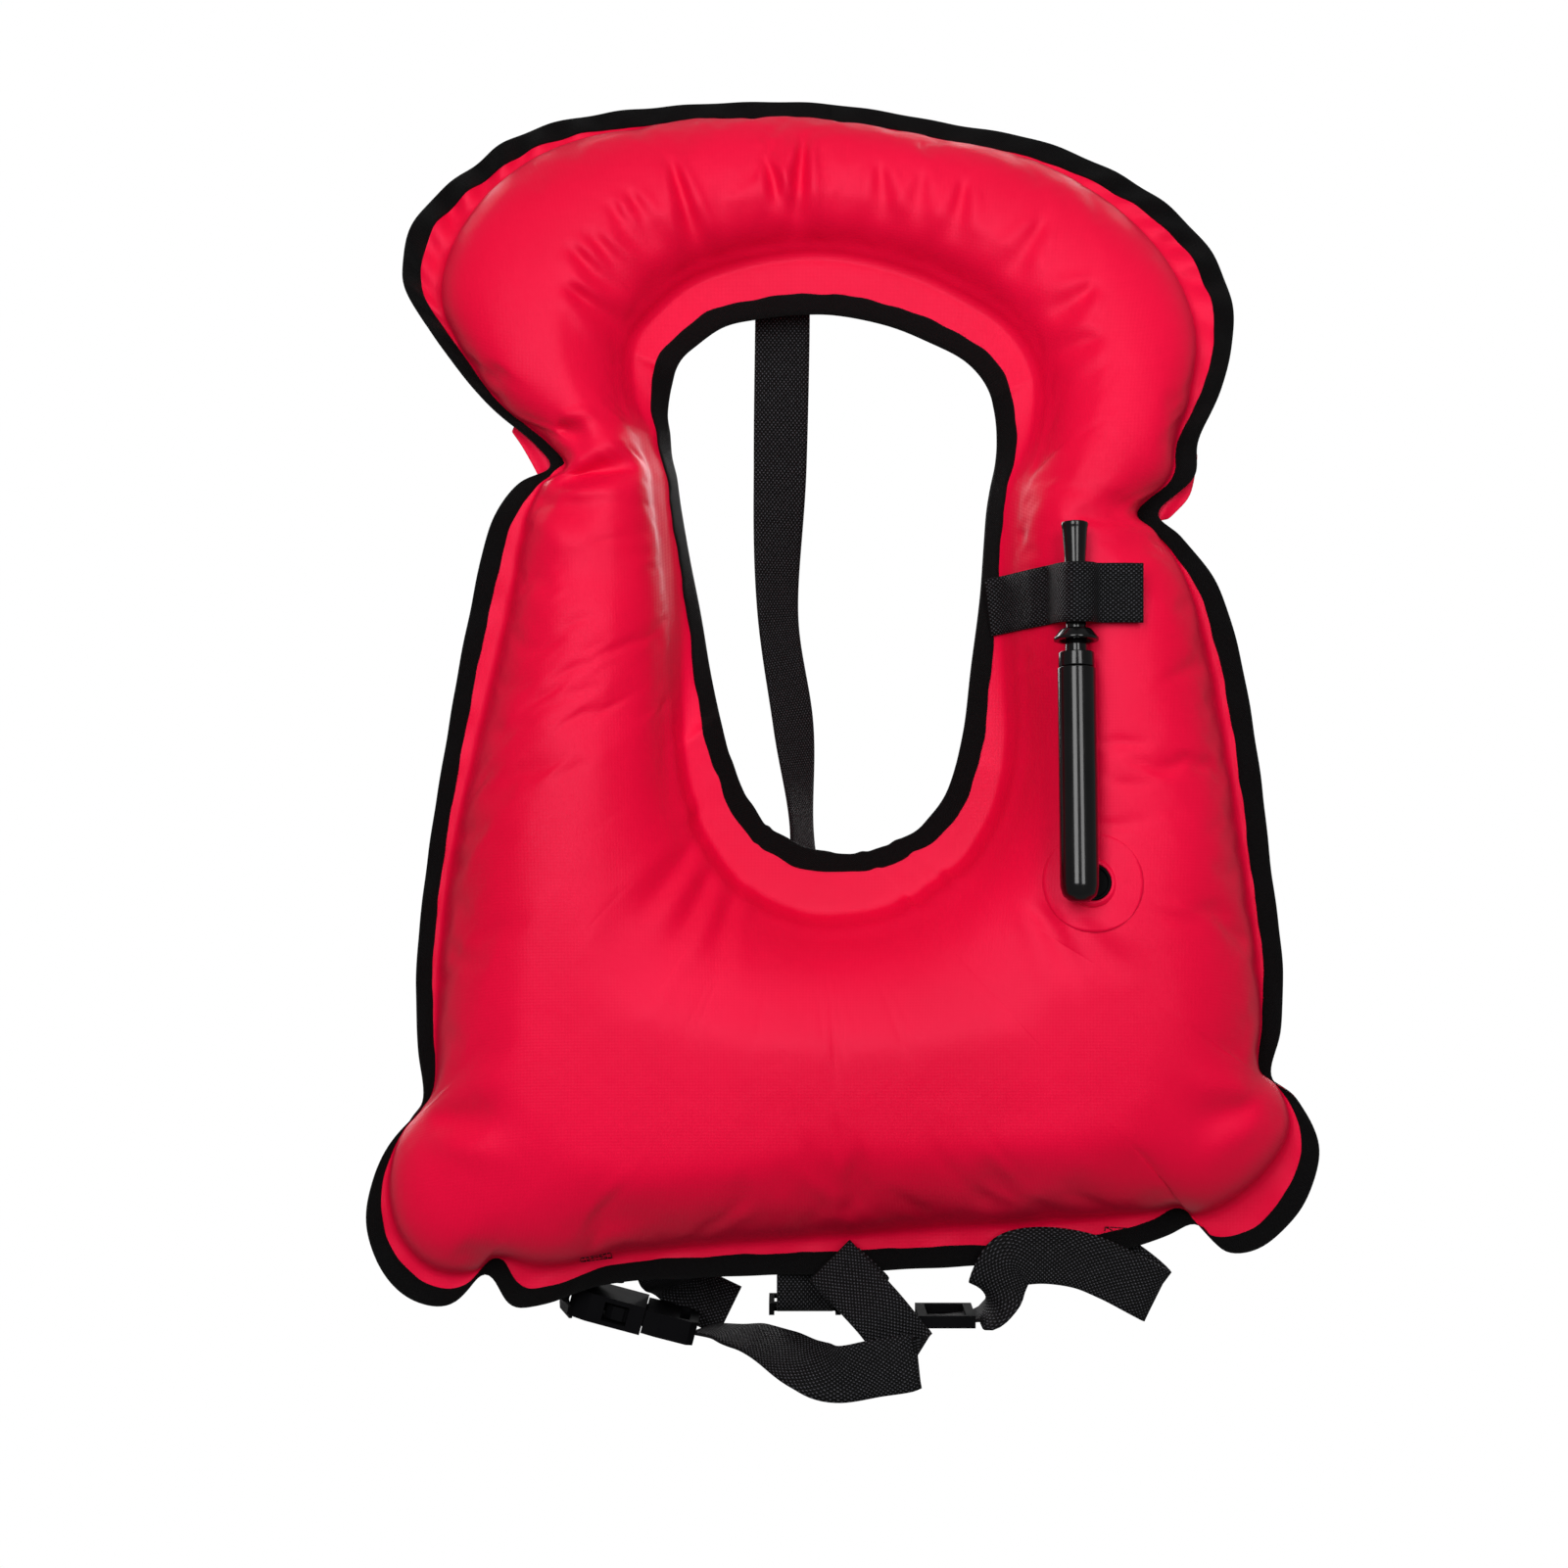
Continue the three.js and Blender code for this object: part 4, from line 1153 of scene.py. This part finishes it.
PORT_PROUD = 1.1               # how far the port stands out of the skin
port_at, port_normal = front_hit(PORT_X, PORT_Z)
port_up = -port_normal if port_normal.y > 0 else port_normal
port_axes = (port_at / MM + port_up * PORT_PROUD, port_up,
             port_up.cross(Vector((1, 0, 0))).normalized())
turned("port", rounded([
    (0, 0.7), (6.4, 0.7), (6.6, 1.6), (7.8, 1.6), (7.8, -1.6), (0, -1.6),
], 0.4), "vest", "port_flange", SATIN, port_axes)
turned("port_lip", rounded([
    (7.9, -1.6), (7.9, 1.3), (9.0, 1.5), (10.6, 0.3), (10.6, -1.6), (8.0, -1.6),
], 0.7, 4), "vest", None, NYLON, port_axes)
elbow_top = port_at.y / MM - (INFLATOR_AT.y + TUBE_R + 0.4)
turned("elbow", rounded([
    (0, 0.0), (5.0, 0.0), (4.6, elbow_top), (0, elbow_top),
], 0.4), "vest", "port_elbow", GLOSS,
    (Vector((PORT_X - 3, port_at.y / MM, PORT_Z)), Vector((0, -1, 0)), Vector((0, 0, 1))))

turned("tube", rounded([
    (0, TUBE_BOTTOM), (TUBE_R - 4.2, TUBE_BOTTOM + 0.4), (TUBE_R - 1.0, TUBE_BOTTOM + 3.0),
    (TUBE_R, TUBE_BOTTOM + 7), (TUBE_R, TUBE_TOP), (TUBE_BORE, TUBE_TOP),
    (TUBE_BORE, TUBE_BOTTOM + 7), (0, TUBE_BOTTOM + 4),
], 1.2, 5), "vest", "inflator_tube", GLOSS)

turned("tube_end", rounded([
    (STEM_R + 0.3, TUBE_TOP + 0.3), (TUBE_R - 0.5, TUBE_TOP + 0.3), (TUBE_R - 0.5, 99.6),
    (STEM_R + 0.3, 99.6), (STEM_R + 0.3, TUBE_TOP + 0.4),
], 0.5), "vest", "tube_collar", GLOSS)

turned("mouth", rounded([
    (BORE_R, 85), (STEM_R, 85), (STEM_R, RING_BOTTOM - 1.5), (NECK_R, RING_BOTTOM - 1.5),
    (NECK_R, MOUTH_TOP - 24), (NECK_R + 0.3, MOUTH_TOP - 15), (MOUTH_R - 0.4, MOUTH_TOP - 3),
    (MOUTH_R, MOUTH_TOP - 1.4), (MOUTH_R, MOUTH_TOP), (BORE_R, MOUTH_TOP), (BORE_R, 85.2),
], 0.5), "inflator_button", "mouthpiece", GLOSS)

turned("ring_nut", rounded([
    (NECK_R + 0.3, RING_BOTTOM + 1.6), (6.2, RING_BOTTOM + 1.6), (7.4, RING_BOTTOM),
    (9.5, RING_BOTTOM), (9.7, RING_BOTTOM + 1.0), (6.9, RING_TOP - 0.5), (6.2, RING_TOP),
    (NECK_R + 0.3, RING_TOP), (NECK_R + 0.3, RING_BOTTOM + 1.8),
], 0.35), "ring", "lock_ring", GLOSS)

SPRING_LOW = 72.75
SPRING_HIGH = 84.25
SPRING_R = 3.9
SPRING_WIRE = 0.45
SPRING_TURNS = 4
STEPS_PER_TURN = 36
WIRE_SIDES = 8


def coil_spring():
    """The valve's return spring, drawn as one fixed coil. The real one shortens as the mouthpiece
    is pressed.
    """
    origin, axis_up, axis_side = TILTED
    steps = SPRING_TURNS * STEPS_PER_TURN
    points = []
    for k in range(steps + 1):
        turn = TAU * SPRING_TURNS * k / steps
        radial = Vector((math.cos(turn), 0, 0)) + axis_side * math.sin(turn)
        height = SPRING_LOW + (SPRING_HIGH - SPRING_LOW) * k / steps
        centre = origin + radial * SPRING_R + axis_up * height
        for m in range(WIRE_SIDES):
            angle = TAU * m / WIRE_SIDES
            offset = (radial * math.cos(angle) + axis_up * math.sin(angle)) * SPRING_WIRE
            points.append((centre + offset) * MM)
    faces = tube_faces(steps + 1, WIRE_SIDES, False)
    faces += [tuple(range(WIRE_SIDES)), tuple(WIRE_SIDES * steps + m for m in range(WIRE_SIDES))]
    piece = mesh_object("return_spring", points, faces)
    face_outward(piece)
    paint(piece, STEEL)
    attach(piece, "vest")
    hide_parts("valve_spring")
    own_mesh(piece)


coil_spring()

# -------- bar tacks

STITCH = 1.7
STITCH_GAP = 0.3
STITCH_RISE = 0.42
THREAD = 0.2                   # half of the thread's width


def bar_tack(name, lines):
    """Rows of single stitches over the flange, from x and z to x and z."""
    points, faces = [], []
    for x0, z0, x1, z1 in lines:
        length = math.hypot(x1 - x0, z1 - z0)
        count = max(2, round(length / (STITCH + STITCH_GAP)))
        ux, uz = (x1 - x0) / length, (z1 - z0) / length
        for k in range(count):
            middle = (k + 0.5) / count
            x, z = x0 + (x1 - x0) * middle, z0 + (z1 - z0) * middle
            y = front_y(x, z)
            first = len(points)
            for along, lift in ((-0.5, 0.0), (-0.3, STITCH_RISE), (0.3, STITCH_RISE), (0.5, 0.0)):
                for side in (-1, 1):
                    points.append(((x + ux * STITCH * along - uz * THREAD * side) * MM,
                                   (y - lift) * MM,
                                   (z + uz * STITCH * along + ux * THREAD * side) * MM))
            for a in range(3):
                b = first + 2 * a
                faces.append((b, b + 1, b + 3, b + 2))
            faces.append((first, first + 6, first + 7, first + 1))
            faces.append((first, first + 2, first + 4, first + 6))
            faces.append((first + 1, first + 7, first + 5, first + 3))
    piece = mesh_object(name, points, faces)
    face_outward(piece)
    paint(piece, THREAD_BLACK)
    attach(piece, "vest")


bar_tack("right_bar_tack", [
    (120, -402, 131, -402.6), (131, -402.6, 130.5, -407), (130.5, -407, 119.5, -406.4),
    (119.5, -406.4, 120, -402), (120, -402, 130.5, -407), (131, -402.6, 119.5, -406.4),
])
bar_tack("left_bar_tack", [
    (-110, -413.4, -97, -412), (-97, -412, -97, -415.6), (-97, -415.6, -110, -417),
    (-110, -417, -110, -413.4), (-110, -413.4, -97, -415.6), (-97, -412, -110, -417),
])

# -------- stage and light

STAGE_ROUND = 48
STAGE_BELOW = 0.16             # metres, as the rest of the stage and the lights
STAGE_FLAT = 4.0
STAGE_CURVE = 2.0


def make_stage():
    """Pale studio round the vest: a flat floor that curves up into walls and closes overhead.

    Only the camera sees it, so it stays evenly pale and adds no light from below. A camera that
    is lower than its floor sees nothing else.
    """
    low = cad_box[0].z - STAGE_BELOW
    profile = [(0.0, 0.0), (STAGE_FLAT, 0.0)]
    profile += [(STAGE_FLAT + STAGE_CURVE * math.sin(a), STAGE_CURVE - STAGE_CURVE * math.cos(a))
                for a in np.linspace(0.1, math.pi / 2, 10)]
    profile += [(STAGE_FLAT + STAGE_CURVE, 6.0), (0.0, 9.0)]
    points = []
    for radius, height in profile:
        for k in range(STAGE_ROUND):
            angle = TAU * k / STAGE_ROUND
            points.append((radius * math.cos(angle), radius * math.sin(angle), low + height))
    faces = tube_faces(len(profile), STAGE_ROUND, False)
    studio = mesh_object("backdrop", points, faces)
    material, _, shader = node_material("backdrop")
    set_inputs(shader, {"Base Color": (0, 0, 0, 1), "Specular IOR Level": 0.0,
                        "Emission Color": (1, 1, 1, 1), "Emission Strength": 1.0})
    paint(studio, material)
    studio.visible_diffuse = studio.visible_glossy = studio.visible_shadow = False


def area_light(name, place, target, size, watts):
    data = bpy.data.lights.new(name, "AREA")
    data.shape = "RECTANGLE"
    data.size, data.size_y = size
    data.energy = watts
    lamp = bpy.data.objects.new(name, data)
    lamp.location = place
    lamp.rotation_euler = (Vector(target) - Vector(place)).to_track_quat("-Z", "Y").to_euler()
    lamp.visible_camera = False
    bpy.context.collection.objects.link(lamp)


def make_light():
    world = bpy.data.worlds.new("studio")
    world.use_nodes = True
    background = world.node_tree.nodes["Background"]
    background.inputs["Color"].default_value = (1, 1, 1, 1)
    background.inputs["Strength"].default_value = 0.24
    bpy.context.scene.world = world
    centre = (0, 0, -0.2)
    area_light("left_box", (-0.65, -1.9, 0.5), centre, (0.8, 1.4), 28)
    area_light("right_box", (0.65, -1.85, 0.4), centre, (0.6, 1.4), 18.5)
    area_light("top_box", (0.0, -0.9, 1.2), centre, (1.4, 0.5), 4.5)
    area_light("rear_left_box", (-0.9, 1.6, 0.6), centre, (0.8, 1.2), 20)
    area_light("rear_right_box", (0.7, 1.7, 0.7), centre, (0.8, 1.2), 20)


CAD_LOOKS = {
    "coated_nylon": NYLON, "binding_tape": TAPE, "webbing": WEBBING, "hook_and_loop": PILE,
    "inflator_plastic": GLOSS, "buckle_plastic": SATIN, "spring_steel": STEEL,
    "seal_rubber": RUBBER,
}
BEVELS = {
    "buckle_female": 1.5, "buckle_male": 1.5, "buckle_arm_front": 0.7, "buckle_arm_rear": 0.7,
    "belt_slider": 0.7, "back_strap_slider": 0.7,
}


def dress_cad_nodes():
    """Paints the CAD's own meshes and rounds the edges of the moulded ones that show."""
    for entry in frame["record"]["subparts"]:
        node = frame["nodes"][entry["node"]]
        paint(node, CAD_LOOKS[entry["material_slot"]])
        if entry["node"] in BEVELS:
            bevel = node.modifiers.new("edges", "BEVEL")
            bevel.width = BEVELS[entry["node"]] * MM
            bevel.segments = 3
            bevel.angle_limit = math.radians(30)
            bevel.harden_normals = True


dress_cad_nodes()
make_camera(HEM_Y)
make_stage()
make_light()
bpy.context.scene.view_settings.view_transform = "Standard"
